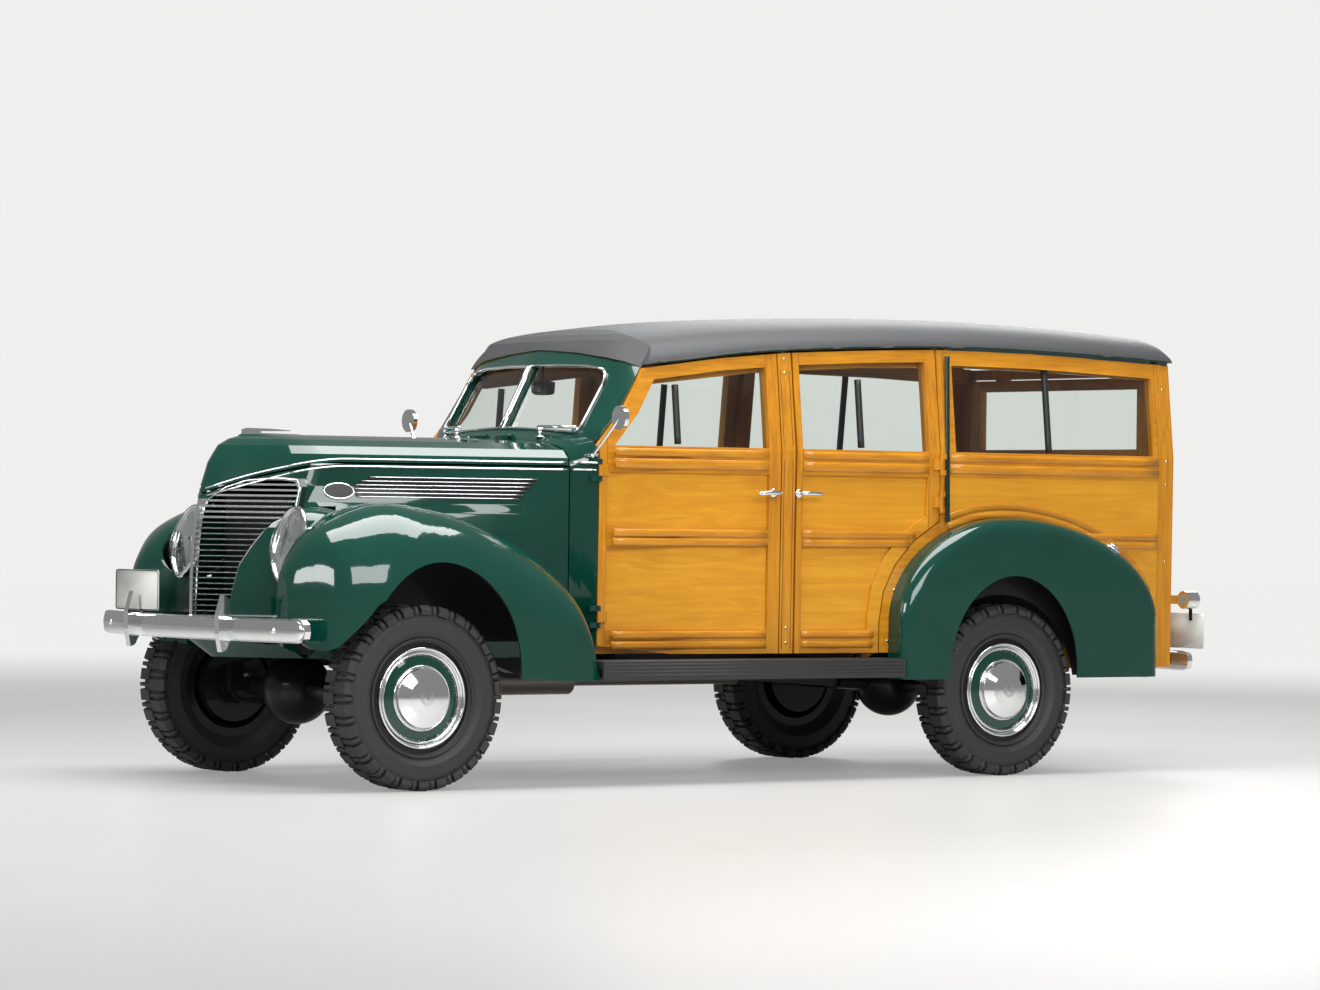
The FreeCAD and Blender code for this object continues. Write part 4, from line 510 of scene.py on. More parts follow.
def grid_faces(rows, columns, closed=False, turned=False):
    # Quads between rows of points. closed joins the ends of each row, turned shows the other side.
    faces = []
    for row in range(rows - 1):
        for column in range(columns if closed else columns - 1):
            a, b = row * columns + column, row * columns + (column + 1) % columns
            c, d = b + columns, a + columns
            faces.append((a, d, c, b) if turned else (a, b, c, d))
    return faces


def caps(count, width, turned=False):
    # The first and the last row of a grid of count points, each as one face
    ends = [tuple(reversed(range(width))), tuple(range(count - width, count))]
    return turned_faces(ends) if turned else ends


def sweep(points, ups, profile, closed=False):
    # A profile carried along a path; ups point away from the surface that it lies on
    points = [Vector(point) for point in points]
    verts = []
    count, width = len(points), len(profile)
    for index, point in enumerate(points):
        before = points[index - 1] if index or closed else point
        after = points[(index + 1) % count] if index < count - 1 or closed else point
        along = (after - before).normalized()
        up = (ups[index] if isinstance(ups, list) else Vector(ups)).normalized()
        across = along.cross(up).normalized()
        up = across.cross(along).normalized()
        verts += [point + across * a + up * b for a, b in profile]
    if not closed:
        return verts, grid_faces(count, width, True) + caps(len(verts), width)
    # After the last row comes the first one again
    return verts, [tuple(a % len(verts) for a in face) for face in grid_faces(count + 1, width, True)]


def ring_part(center, radius, profile, steps):
    # A profile carried round an axle
    outs = [at(cos(angle), 0, sin(angle)) for angle in turns(steps)]
    return sweep([Vector(center) + out * radius for out in outs], outs, profile, True)


def dome(center, normal, radius, height, rings=3, steps=14):
    # A low button: rows of points from the edge to the middle
    normal = Vector(normal).normalized()
    first = normal.orthogonal().normalized()
    second = normal.cross(first)
    verts = []
    for ring in range(rings + 1):
        angle = pi / 2 * ring / (rings + 0.5)
        for turn in turns(steps):
            out = first * cos(turn) + second * sin(turn)
            verts.append(Vector(center) + out * radius * cos(angle) + normal * height * sin(angle))
    return verts, grid_faces(rings + 1, steps, True) + caps(len(verts), steps)[::-1]


def on_surface(tree, places, lift=0.0, cast=hit_side):
    points, ups = [], []
    for first, second in places:
        place, normal = cast(tree, first, second)
        if place:
            points.append(place + normal * lift)
            ups.append(normal)
    return points, ups


def smoothed(points, ups, rounds=4):
    # Each inner point and its up go to the mean of their neighbours, a few times over
    for turn in range(rounds):
        means, mean_ups = ([a + b * 2 + c for a, b, c in zip(row, row[1:], row[2:])] for row in (points, ups))
        points = [points[0]] + [mean / 4 for mean in means] + [points[-1]]
        ups = [ups[0]] + [mean.normalized() for mean in mean_ups] + [ups[-1]]
    return points, ups


def surface_bar(tree, places, lift, wide, high, rounds=4):
    # A rounded bar along a smoothed line on the surface
    return sweep(*smoothed(*on_surface(tree, places, lift), rounds), rounded(wide, high))


def smooth_loop(points, steps):
    # A closed smooth curve through the points, with even steps between each two
    count = len(points)
    loop = []
    for index in range(count):
        p0, p1, p2, p3 = (Vector(points[(index + shift) % count]) for shift in (-1, 0, 1, 2))
        for step in range(steps):
            t = step / steps
            square = (2 * p0 - 5 * p1 + 4 * p2 - p3) * t * t
            loop.append(0.5 * ((2 * p1) + (p2 - p0) * t + square + (3 * p1 - p0 - 3 * p2 + p3) * t ** 3))
    return loop


def subdivided(corners, steps):
    # Points along the lines between corners, without the last corner
    return [(a0 + (a1 - a0) * step / steps, b0 + (b1 - b0) * step / steps)
            for (a0, b0), (a1, b1) in zip(corners, corners[1:]) for step in range(steps)]


# Bright mouldings along the hood, the louvres with a black sheet of painted shade behind their bars, and the
# badge below them

PARTING_Z = 1.248
PARTING_START = 1.768
PARTING_FALL = 0.1485
PARTING_POWER = 1.9
NOSE_X = 2.2412
ABOVE_PARTING = 0.019
BELOW_PARTING = -0.009
HOOD_XS = spaced(0.862, 2.19, 60)
COWL_XS = spaced(0.776, 0.842, 6)
hood_tree = tree_of("hood")
panel_tree = tree_of("front_panels")
cowl_tree = tree_of("cowl")


def parting(x):
    share = max(0.0, (x - PARTING_START) / (NOSE_X - PARTING_START))
    return PARTING_Z - PARTING_FALL * share ** PARTING_POWER


def moulding(tree, xs, offset, rounds=4):
    return surface_bar(tree, [(x, parting(x) + offset) for x in xs], 0.001, 0.004, 0.0036, rounds)


both("hood_moulding", moulding(hood_tree, HOOD_XS, ABOVE_PARTING), chrome, "hood")
both("panel_moulding", moulding(panel_tree, HOOD_XS, BELOW_PARTING), chrome)
cowl_parts = [moulding(cowl_tree, COWL_XS, offset, 0) for offset in (ABOVE_PARTING, BELOW_PARTING)]
both("cowl_moulding", join_parts(cowl_parts), chrome)

LOUVRE_LOW = 1.121
LOUVRE_HIGH = 1.198
LOUVRES = 6
LOUVRE_STEPS = 20
louvre_parts, shade_verts = [], []
for share in spaced(0, 1, LOUVRES - 1):
    z = LOUVRE_LOW + (LOUVRE_HIGH - LOUVRE_LOW) * share
    front = 1.73 - 0.06 * share + 0.035 * (1 - (2 * share - 1) ** 2)
    rear = 1.06 - 0.08 * share
    row = [(x, z) for x in spaced(rear, front, LOUVRE_STEPS)]
    louvre_parts.append(surface_bar(panel_tree, row, 0.003, 0.002, 0.003))
    shade_verts += smoothed(*on_surface(panel_tree, row, 0.0024))[0]
both("louvre_bars", join_parts(louvre_parts), chrome)
# A black sheet just behind the louvre bars: painted shade for the dark gaps between them
both("louvre_painted_shade", (shade_verts, grid_faces(LOUVRES, LOUVRE_STEPS + 1)), black)

BADGE_X = 1.8
BADGE_Z = 1.142
BADGE_LONG = 0.06
BADGE_HIGH = 0.03
BADGE_STEPS = 28
badge_ring = [(BADGE_X + BADGE_LONG * cos(turn), BADGE_Z + BADGE_HIGH * sin(turn))
              for turn in turns(BADGE_STEPS)]
points, ups = on_surface(panel_tree, badge_ring, 0.002)
both("badge_rim", sweep(points, ups, rounded(0.0035, 0.003), True), chrome)
count = len(points)
middle = sum(points, Vector()) / count + ups[0] * 0.002
badge_faces = [(k, (k + 1) % count, count) for k in range(count)]
both("badge_plate", (points + [middle], badge_faces), black)


# Grille: a bright line on every bar, and one around the opening

GRILLE_LOW = 0.64
GRILLE_HIGH = 1.196
GRILLE_HALF = 0.353
GRILLE_INSET = 0.006
GRILLE_BARS = 26
GRILLE_BACK = 1.9
LINE_STEP = 0.005
GRILLE_OUTLINE = (
    (0.4, 0.01), (0.43, 0.16), (0.5, 0.38), (0.6, 0.5), (0.72, 0.62), (0.84, 0.7), (0.96, 0.735),
    (1.0, 0.78), (1.0, 0.93), (0.95, 0.985), (0.75, 1.0), (0.45, 0.98), (0.26, 0.93), (0.1, 0.84))
grille_tree = tree_of("grille")
bar_lines = []
for index in range(GRILLE_BARS):
    z = GRILLE_LOW + (GRILLE_HIGH - GRILLE_LOW) / GRILLE_BARS * (index + 0.5)
    points, ups = [], []
    for step in range(2, 72):
        place, normal = hit_front(grille_tree, LINE_STEP * step, z)
        if not place or place.x < GRILLE_BACK:
            break
        points.append(place + normal * 0.0006)
        ups.append(normal)
    if len(points) > 4:
        bar_lines.append(sweep(points[:-1], ups[:-1], rounded(0.0011, 0.0016, 6)))
both("grille_lines", join_parts(bar_lines), satin_metal)
edge_wide = GRILLE_HALF - GRILLE_INSET
edge_high = GRILLE_HIGH - GRILLE_LOW - 2 * GRILLE_INSET
edge_line = [(edge_wide * across, GRILLE_LOW + GRILLE_INSET + edge_high * up)
             for across, up in subdivided(GRILLE_OUTLINE, 4)]
points, ups = on_surface(grille_tree, edge_line, 0.0015, hit_front)
both("grille_edge", sweep(points, ups, rounded(0.003, 0.003)), chrome)


# The painted return between the grille's side and the panel behind it

RETURN_START = 2.02
RETURN_STEP = 0.003
RETURN_NEAR = 0.3
RETURN_GAP = 0.008
nose_side_tree = tree_of("grille", "front_panels")
return_verts = []
for z in spaced(1.052, 1.188, 23):
    ahead = behind = None
    for back in range(90):
        place, normal = hit_side(nose_side_tree, RETURN_START - RETURN_STEP * back, z)
        if not place or place.y < RETURN_NEAR:
            continue
        if ahead and (ahead - place).length > RETURN_GAP:
            behind = place
            break
        ahead = place
    if behind:
        return_verts += [ahead + at(0.002, -0.001, 0), behind + at(-0.002, -0.001, 0)]
both("grille_return", (return_verts, grid_faces(len(return_verts) // 2, 2)), green)


# Head lamps: a bright rim, and a bowl behind the glass

LAMP_X = 1.995
LAMP_Y = 0.393
LAMP_TOP = 1.072
LAMP_LOW = 0.8
LAMP_HALF = 0.098
LAMP_LEAN = 0.07
LAMP_HIGH = LAMP_TOP - LAMP_LOW
LAMP_MIDDLE = LAMP_LOW + LAMP_HIGH * 0.55
DROP = ((0.0, 1.0), (0.55, 0.93), (0.9, 0.74), (1.0, 0.52), (0.85, 0.28), (0.45, 0.1), (0.0, 0.0))
# Each line of the bowl: its size as a share of the lamp's outline, and how far it lies ahead
BOWL_LINES = ((0.99, 0.003), (0.8, 0.001), (0.55, 0.0006), (0.25, 0.0004), (0.06, 0.0003))


def lamp_line(scale, lead):
    right = []
    for across, up in DROP:
        z = LAMP_MIDDLE + (LAMP_LOW + LAMP_HIGH * up - LAMP_MIDDLE) * scale
        x = LAMP_X + lead + LAMP_LEAN * (LAMP_TOP - z) / LAMP_HIGH
        right.append(at(x, LAMP_Y + LAMP_HALF * across * scale, z))
    left = [at(p.x, 2 * LAMP_Y - p.y, p.z) for p in reversed(right[1:-1])]
    return smooth_loop(right + left, 5)


lamp_way = at(1, 0, LAMP_LEAN / LAMP_HIGH)
both("lamp_rims", sweep(lamp_line(1.03, 0.004), lamp_way, rounded(0.0085, 0.01, 10), True), chrome)
bowl = [lamp_line(scale, lead) for scale, lead in BOWL_LINES]
bowl_verts = [point for line in bowl for point in line]
both("lamp_bowls", (bowl_verts, grid_faces(len(bowl), len(bowl[0]), True)), lamp_silver)


# Wheels and tyres: trim rings, side bands, and ribs on the shoulders and the tread

# Each ring: beside the wheel's middle, its radius, and its section's half width and height
TRIM_RINGS = ((0.063, 0.19, 0.0075, 0.006), (0.055, 0.171, 0.006, 0.005), (0.06, 0.1235, 0.006, 0.004))
TYRE_BANDS = ((0.0815, 0.262, 0.003, 0.004), (0.072, 0.226, 0.004, 0.005))
# Each rib: inner and outer radius, start and end beside the tyre's middle, half width and depth
SHOULDER_RIB = (0.318, 0.3535, 0.03, 0.0885, 0.0075, 0.022)
SMALL_RIB = (0.33, 0.352, 0.034, 0.087, 0.005, 0.02)
LUGS = 26
LUG_PLACE = 0.012
LUG_HALF = at(0, 0.014, 0)
LUG_R = 0.338
LUG_SECTION = [(-0.009, -0.006), (0.009, -0.006), (0.008, 0.0145), (-0.008, 0.0145)]


def rings(axle_x, rows, steps):
    return [ring_part((axle_x, HALF_TRACK + y, AXLE_Z), radius, rounded(wide, high), steps)
            for y, radius, wide, high in rows]


def tyre_rib(axle_x, angle, low, high, start, end, wide, depth):
    # One block on the shoulder, from the tread down the side
    verts = []
    y0, y1 = HALF_TRACK + start, HALF_TRACK + end
    for radius, y in ((high, y0), (high, y1 - 0.012), (high - 0.018, y1), (low, y1 - 0.004),
                      (low, y1 - 0.016), (high - depth, y0)):
        for turn in (-wide, wide):
            a = angle + turn / radius
            verts.append(at(axle_x + radius * cos(a), y, AXLE_Z + radius * sin(a)))
    ends = [tuple(range(0, 12, 2)), tuple(range(11, 0, -2))]
    return verts, grid_faces(6, 2) + [(10, 11, 1, 0)] + ends


def tread_parts(axle_x):
    parts = []
    for index in range(LUGS):
        outer = pi / 2 - 2 * pi * (index + 0.5) / LUGS
        inner = pi / 2 - 2 * pi * index / LUGS
        parts.append(tyre_rib(axle_x, outer, *SHOULDER_RIB))
        verts, faces = tyre_rib(axle_x, inner, *SHOULDER_RIB)
        parts.append(([at(v.x, 2 * HALF_TRACK - v.y, v.z) for v in verts], turned_faces(faces)))
        parts.append(tyre_rib(axle_x, inner, *SMALL_RIB))
        for angle, y in ((outer, LUG_PLACE), (inner, -LUG_PLACE)):
            out = at(cos(angle), 0, sin(angle))
            center = at(axle_x, HALF_TRACK + y, AXLE_Z) + out * LUG_R
            parts.append(sweep([center + LUG_HALF, center - LUG_HALF], out, LUG_SECTION))
    return parts


for corner, (axle_x, side) in CORNERS.items():
    pieces = (("trim_rings_", rings(axle_x, TRIM_RINGS, 48), chrome),
              ("tread_", tread_parts(axle_x), tyre_rubber),
              ("tyre_bands_", rings(axle_x, TYRE_BANDS, 64), tyre_rubber))
    for name, parts, material in pieces:
        part = join_parts(parts)
        make_piece(name + corner, part if side > 0 else flip(part), material, "wheel_" + corner)


# Wood: rounded rails on the doors and the quarters, over the recessed panels

# A rail's section, as shares of its half height and its thickness
RAIL = [(-1, -0.3), (-0.96, 0.35), (-0.75, 0.8), (-0.3, 1), (0.3, 1), (0.75, 0.8), (0.96, 0.35), (1, -0.3)]
# Each rail's level, height and thickness, from the top one down, and then the rails' ends
RAIL_LEVELS = (
    (1.313, 0.031, 0.007), (1.268, 0.042, 0.009), (0.994, 0.031, 0.008), (0.958, 0.031, 0.008),
    (0.588, 0.031, 0.008), (0.548, 0.031, 0.008))
FRONT_ENDS = ((-0.004, 0.722),) * 2 + ((-0.004, 0.727),) * 4
REAR_ENDS = (
    (-0.797, -0.173), (-0.797, -0.173), (-0.735, -0.173), (-0.705, -0.173), (-0.56, -0.173),
    (-0.556, -0.173))
QUARTER_ENDS = ((-2.046, -0.905), (-2.046, -0.905), (-2.046, -1.64), (-2.046, -1.7))
RAIL_SINK = 0.03
SEAM_SECTION = flat(0.0012, -0.001, 0.0004)
quarter_tree = tree_of("body_sides")
door_trees = {"front": tree_of("door_front_left"), "rear": tree_of("door_rear_left")}


def rail_part(tree, x0, x1, z, height, proud):
    points, ups = on_surface(tree, [(x, z) for x in spaced(x0, x1, 12)])
    near = max(point.y for point in points)
    points = [at(p.x, max(p.y, near - RAIL_SINK), p.z) for p in points]
    return sweep(points, ups, [(a * height / 2, b * proud) for a, b in RAIL])


def rail_set(tree, ends):
    return join_parts([rail_part(tree, *xs, *level) for xs, level in zip(ends, RAIL_LEVELS)])


door_pair("rails_", rail_set(door_trees["front"], FRONT_ENDS), wood_rails, "front")
door_pair("rails_", rail_set(door_trees["rear"], REAR_ENDS), wood_rails, "rear")
both("rails_quarter", rail_set(quarter_tree, QUARTER_ENDS), wood_rails)

# Dark strips of painted shade in the grooves where the boards of the posts meet
seams = [sweep(*on_surface(quarter_tree, [(x, z) for z in spaced(0.53, 1.73, 16)]), SEAM_SECTION)
         for x in (-0.079, -0.121)]
both("post_seams", join_parts(seams), dark_seam)


# A dark green strip behind the rear door, painted shade for the gap at the door's edge: straight, and as high
# as the highest hit under it

STRIP_HALF = 0.0072
STRIP_LOW = at(-0.884, 0, 1.05)
STRIP_HIGH = at(-0.905, 0, 1.735)
STRIP_SECTION = [(-STRIP_HALF, -0.014), (STRIP_HALF, -0.014), (0.0068, 0.0022), (-0.0068, 0.0022)]
spots = [STRIP_LOW.lerp(STRIP_HIGH, share) for share in spaced(0, 1, 60)]
edges = [on_surface(quarter_tree, [(spot.x + aside, spot.z) for spot in spots])[0]
         for aside in (-STRIP_HALF, 0, STRIP_HALF)]
hits = [at(b.x, max(a.y, b.y, c.y), b.z) for a, b, c in zip(*edges)]
first, last = hits[0], hits[-1]
shares = [(hit.z - first.z) / (last.z - first.z) for hit in hits]
straight = [first.y + (last.y - first.y) * share for share in shares]
rise = max(hit.y - y for hit, y in zip(hits, straight))
points = [at(hit.x, y + rise, hit.z) for hit, y in zip(hits, straight)]
both("post_gap_shade", sweep(points, LEFT, STRIP_SECTION), green_trim)


# Black liners in the wheel wells, under the rear fenders and over the front inner panels

LINER_Y = 0.7575
LINER_RADII = (0.395, 0.52)
LINER_LOW = 0.412
LINER_STEPS = 48
FRONT_LINER_XS = spaced(1.06, 1.9, 40)
FRONT_LINER_Y = 0.64
FRONT_LINER_LOW = 0.56
FRONT_LINER_DROP = 0.03
LINER_LEVELS = 8
rear_verts = []
for turn in spaced(0, pi, LINER_STEPS):
    for radius in LINER_RADII:
        level = max(LINER_LOW, AXLE_Z + radius * sin(turn))
        rear_verts.append(at(REAR_AXLE_X + radius * cos(turn), LINER_Y, level))
rear_liner = (rear_verts, grid_faces(LINER_STEPS + 1, 2, turned=True))
front_fender_tree = tree_of("fenders_front")
front_verts = []
for x in FRONT_LINER_XS:
    top = hit_top(front_fender_tree, x, FRONT_LINER_Y)[0]
    if not top or top.z - FRONT_LINER_DROP < FRONT_LINER_LOW + 0.05:
        continue
    levels = spaced(FRONT_LINER_LOW, top.z - FRONT_LINER_DROP, LINER_LEVELS)
    column = [hit_side(panel_tree, x, z)[0] for z in levels]
    if all(place and place.y > 0.4 for place in column):
        front_verts += [place + at(0, 0.003, 0) for place in column]
width = LINER_LEVELS + 1
front_liner = (front_verts, grid_faces(len(front_verts) // width, width, turned=True))
both("well_liners", join_parts([rear_liner, front_liner]), black)


# The wooden band over the rear fender, and the filler cap on it

BAND_OUT = 0.03
BAND_END = -2.045
BAND_SINK = 0.006
BAND_SECTION = [
    (-0.03, -0.006), (-0.03, 0.0035), (-0.027, 0.005), (-0.003, 0.005), (-0.0015, 0.0025),
    (0.0015, 0.0025), (0.003, 0.005), (0.027, 0.005), (0.03, 0.0035), (0.03, -0.006)]
fender_tree = tree_of("fenders_rear")
fender_line = []
for x in spaced(-0.905, -1.955, 40):
    place = hit_top(fender_tree, x, 0.765)[0]
    if place:
        fender_line.append(at(x, 0, place.z))
band_line = []
for index, point in enumerate(fender_line):
    along = fender_line[min(index + 1, len(fender_line) - 1)] - fender_line[max(index - 1, 0)]
    out = along.cross(LEFT).normalized()
    spot = point + (out if out.z > 0 else -out) * BAND_OUT
    if spot.x > BAND_END:
        band_line.append((spot.x, spot.z))
points, ups = on_surface(quarter_tree, band_line)
near = sorted(point.y for point in points)[len(points) // 2]
points = [at(p.x, max(p.y, near - BAND_SINK), p.z) for p in points]
both("arch_band", sweep(points, LEFT, BAND_SECTION), wood_rails)

place, normal = hit_top(fender_tree, -1.735, 0.815)
cap_parts = [dome(place - normal * 0.002, normal, 0.04, 0.016, 4, 24),
             dome(place + normal * 0.01, normal, 0.024, 0.012, 4, 20)]
make_piece("filler_cap", join_parts(cap_parts), chrome)


# Screws, door handles and the bars in the side windows

# The screws' levels on each post
SCREWS = {
    -0.1: (1.7, 1.645, 0.615, 0.554), -0.918: (1.715, 1.66), -0.632: (0.769,), -0.613: (0.679,),
    -0.6: (0.56,), -2.094: (1.624, 1.316, 1.217, 0.889), -0.93: (1.062,)}
screw_parts = [dome(place - normal * 0.001, normal, 0.0075, 0.005) for x, levels in SCREWS.items()
               for place, normal in zip(*on_surface(quarter_tree, [(x, z) for z in levels]))]
both("post_screws", join_parts(screw_parts), brass)

HANDLE_Z = 1.158
STEM = at(0, 0.042, 0)
# The lever's points: reach along the door, outward and up from the stem's end
LEVER = ((-0.012, 0, 0), (0.01, 0.004, 0.001), (0.04, 0.006, 0.001), (0.075, 0.002, -0.001),
         (0.098, -0.006, -0.004))
for door, x, way in (("front", -0.03, 1), ("rear", -0.152, -1)):
    place, normal = hit_side(door_trees[door], x, HANDLE_Z)
    stem = sweep([place, place + STEM], UP, rounded(0.0075, 0.0075, 10))
    lever = [place + STEM + at(way * reach, out, lift) for reach, out, lift in LEVER]
    parts = [dome(place, normal, 0.019, 0.008, 3, 18), stem, sweep(lever, LEFT, rounded(0.0085, 0.0055, 10))]
    door_pair("handle_", join_parts(parts), chrome, door)

GLASS_BAR = [
    (-0.011, -0.011), (0.011, -0.011), (0.011, 0.006), (0.004, 0.009), (-0.004, 0.009), (-0.011, 0.006)]


def glass_bar(node, x, low, high):
    return sweep(*on_surface(tree_of(node), [(x, z) for z in spaced(low, high, 8)]), GLASS_BAR)


for door, x in (("front", 0.401), ("rear", -0.472)):
    node = "glass_door_" + door + "_left"
    low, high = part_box(node)
    door_pair("glass_bar_", glass_bar(node, x, low[2] + 0.01, high[2] - 0.08), channel_black, door)
both("glass_bar_quarter", glass_bar("glass_fixed", -1.453, 1.345, 1.69), channel_black)


# Windshield: bright frames, the middle strip, the wipers and the mirror inside

PANE = (
    (0.01, 1.4045), (0.01, 1.66), (0.2, 1.659), (0.3736, 1.654), (0.455, 1.642), (0.489, 1.625),
    (0.503, 1.595), (0.503, 1.42), (0.495, 1.395), (0.467, 1.385), (0.36, 1.391), (0.2505, 1.397),
    (0.12, 1.402))
SCREEN_OUT = at(0.006, 0, 0.003)
SCREEN_UP = at(0.8, 0.12, 0.58)
glass_points = on_surface(tree_of("glass_fixed", "cowl"), subdivided(PANE + PANE[:1], 4), 0.0, hit_front)[0]
frame_points = [point + SCREEN_OUT for point in glass_points]
both("screen_frames", sweep(frame_points, SCREEN_UP, rounded(0.0048, 0.0085), True), chrome)
points, ups = on_surface(cowl_tree, [(0.0, z) for z in spaced(1.412, 1.657, 8)], 0.003, hit_front)
make_piece("screen_divider", sweep(points, ups, rounded(0.0085, 0.0055)), chrome)

foot = hit_top(cowl_tree, 0.827, 0.309)[0]
head = foot + at(0.002, 0, 0.036)
ARM = ((0, 0, 0), (-0.01, 0.05, 0.004), (-0.028, 0.12, 0.004))
BLADE = ((-0.004, -0.02, 0.006), (-0.022, 0.09, 0.006), (-0.046, 0.19, 0.004))
wiper_parts = [
    dome(foot, UP, 0.02, 0.01), sweep([foot, head], AHEAD, rounded(0.008, 0.008, 10)),
    dome(head - UP * 0.008, UP, 0.014, 0.013),
    sweep([head + Vector(step) for step in ARM], UP, rounded(0.0045, 0.0035)),
    sweep([head + Vector(step) for step in BLADE], UP, rounded(0.005, 0.006))]
both("wipers", join_parts(wiper_parts), chrome)

MIRROR = at(0.64, 0.05, 1.575)
MIRROR_LINE = (
    (-0.075, -0.024), (-0.045, -0.03), (0.045, -0.03), (0.075, -0.024), (0.08, 0.0), (0.07, 0.024),
    (-0.07, 0.024), (-0.08, 0.0))
case = smooth_loop([MIRROR + at(0, y, z) for y, z in MIRROR_LINE], 3)
count = len(case)
case_back = [MIRROR + (point - MIRROR) * 0.8 + at(0.02, 0, 0) for point in case]
case_faces = grid_faces(2, count, True) + caps(2 * count, count, True)
stalk = sweep([MIRROR + at(0.012, 0, 0.015), MIRROR + at(0.005, 0, 0.085)], AHEAD, rounded(0.006, 0.006))
make_piece("inside_mirror", join_parts([(case + case_back, case_faces), stalk]), black)


# Running boards: ribs of rubber along the top and the outer edge

BOARD_INSET = 0.012
TOP_RIB_YS = spaced(0.705, 0.837, 8)
SIDE_RIB_DROPS = (0.012, 0.026, 0.04, 0.054)
low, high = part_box("running_boards")
ends = (low[0] + BOARD_INSET, high[0] - BOARD_INSET)
board_parts = [sweep([(x, y, high[2] - 0.001) for x in ends], UP, rounded(0.0045, 0.0035))
               for y in TOP_RIB_YS]
board_parts += [sweep([(x, high[1] - 0.0008, high[2] - drop) for x in ends], LEFT, rounded(0.004, 0.0016))
                for drop in SIDE_RIB_DROPS]
both("board_ribs", join_parts(board_parts), board_rubber)


# A strip under the edge of the roof, down to the rail over the doors

ROOF_LOOK_Y = 0.78
ROOF_LOOK_Z = 1.3
ROOF_EDGE_TOP = 1.84
roof_tree = tree_of("roof")


def roof_edge(x):
    for step in range(60):
        place = roof_tree.ray_cast(at(x, ROOF_LOOK_Y - 0.005 * step, ROOF_LOOK_Z), UP)[0]
        if place and place.z < ROOF_EDGE_TOP:
            return place
    return None


def rail_top(x, high):
    for step in range(40):
        place = hit_side(quarter_tree, x, high - 0.002 * step)[0]
        if place and place.y > 0.45:
            return place
    return None


drip_verts, drip_edge = [], []
for x in spaced(0.53, -2.128, 80):
    edge = roof_edge(x)
    foot = rail_top(x, edge.z) if edge else None
    if not foot:
        continue
    top = edge + at(0, -0.003, 0.004)
    drip_verts += [top, at(foot.x, max(foot.y, edge.y - 0.035), foot.z - 0.002)]
    drip_edge.append(edge + at(0, 0.001, 0.001))
both("drip_strip", (drip_verts, grid_faces(len(drip_edge), 2, turned=True)), green_trim)
both("drip_bead", sweep(drip_edge, LEFT, rounded(0.004, 0.003)), green_trim)


# The bumpers' crowned faces, and the bolts on the front one

BUMPER_X = 2.305
BUMPER_BOW = 0.115
BUMPER_HALF = 0.791
FRONT_BUMPER_Z = 0.61
REAR_BUMPER_Z = 0.467
FACE_END = 0.786
FACE_TURN = 0.055
FACE_PROUD = 0.013
FACE_SINK = 0.001
FACE_HALF = 0.042
FACE_LEAST = 0.08
FACE_STEPS = 64
FACE_ROWS = 12
BOLT_Y = 0.64


def bumper_x(y):
    return BUMPER_X - BUMPER_BOW * (y / BUMPER_HALF) ** 2


def bumper_face(z, way):
    verts = []
    for step in range(FACE_STEPS + 1):
        y = FACE_END * sin(pi * (step / FACE_STEPS - 0.5))
        turn = max(0.0, (abs(y) - FACE_END + FACE_TURN) / FACE_TURN)
        share = max(FACE_LEAST, sqrt(max(0.0, 1 - turn * turn)))
        for row in range(FACE_ROWS + 1):
            angle = pi * (row / FACE_ROWS - 0.5)
            out = bumper_x(y) + FACE_PROUD * share * cos(angle) - FACE_SINK
            verts.append(at(way * out, y, z + FACE_HALF * share * sin(angle)))
    width = FACE_ROWS + 1
    return verts, grid_faces(FACE_STEPS + 1, width, True, way > 0) + caps(len(verts), width, way > 0)


make_piece("front_bumper_face", bumper_face(FRONT_BUMPER_Z, 1), chrome)
make_piece("rear_bumper_face", bumper_face(REAR_BUMPER_Z, -1), chrome)
bolt_place = at(bumper_x(BOLT_Y) + FACE_PROUD - 0.003, BOLT_Y, FRONT_BUMPER_Z)
both("bumper_bolts", dome(bolt_place, at(0.97, 0.23, 0), 0.013, 0.009, 3, 16), chrome)


# Blank number plates with a raised edge, each on two bent brackets

PLATE_CORNER = 0.012
PLATE_THICK = 0.002
RIM_SHARE = 0.965
BRACKET = flat(0.009, -0.002, 0.002)
# Each plate: its middle, size and normal, its brackets' places in Y, and their path in X and Z
PLATES = (
    ("front", (2.262, -0.388, 0.744), 0.352, 0.16, AHEAD, (-0.45, -0.33),
     ((2.259, 0.75), (2.259, 0.69), (2.256, 0.65))),
    ("rear", (-2.228, 0.69, 0.595), 0.31, 0.15, -AHEAD, (0.62, 0.76),
     ((-2.224, 0.64), (-2.222, 0.69), (-2.19, 0.705))))


def plate_parts(middle, wide, high, normal):
    middle = Vector(middle)
    corners = []
    for sx, sz in ((-1, -1), (1, -1), (1, 1), (-1, 1)):
        for turn in range(4):
            angle = atan2(sz, sx) - pi / 4 + pi / 2 * turn / 3
            y = sx * (wide / 2 - PLATE_CORNER) + PLATE_CORNER * cos(angle)
            z = sz * (high / 2 - PLATE_CORNER) + PLATE_CORNER * sin(angle)
            corners.append(middle + LEFT * y + UP * z)
    count = len(corners)
    back = [point - normal * PLATE_THICK for point in corners]
    faces = caps(2 * count, count, True) + grid_faces(2, count, True, True)
    inner = [middle + (point - middle) * RIM_SHARE for point in corners]
    return (corners + back, faces), sweep(inner, normal, rounded(0.0022, 0.0016, 6), True)


for label, middle, wide, high, normal, places, path in PLATES:
    sheet, rim = plate_parts(middle, wide, high, normal)
    make_piece(label + "_plate", sheet, plate_white)
    make_piece(label + "_plate_rim", rim, black)
    bars = [sweep([(x, y, z) for x, z in path], normal, BRACKET) for y in places]
    make_piece(label + "_plate_bracket", join_parts(bars), black, smooth=False)


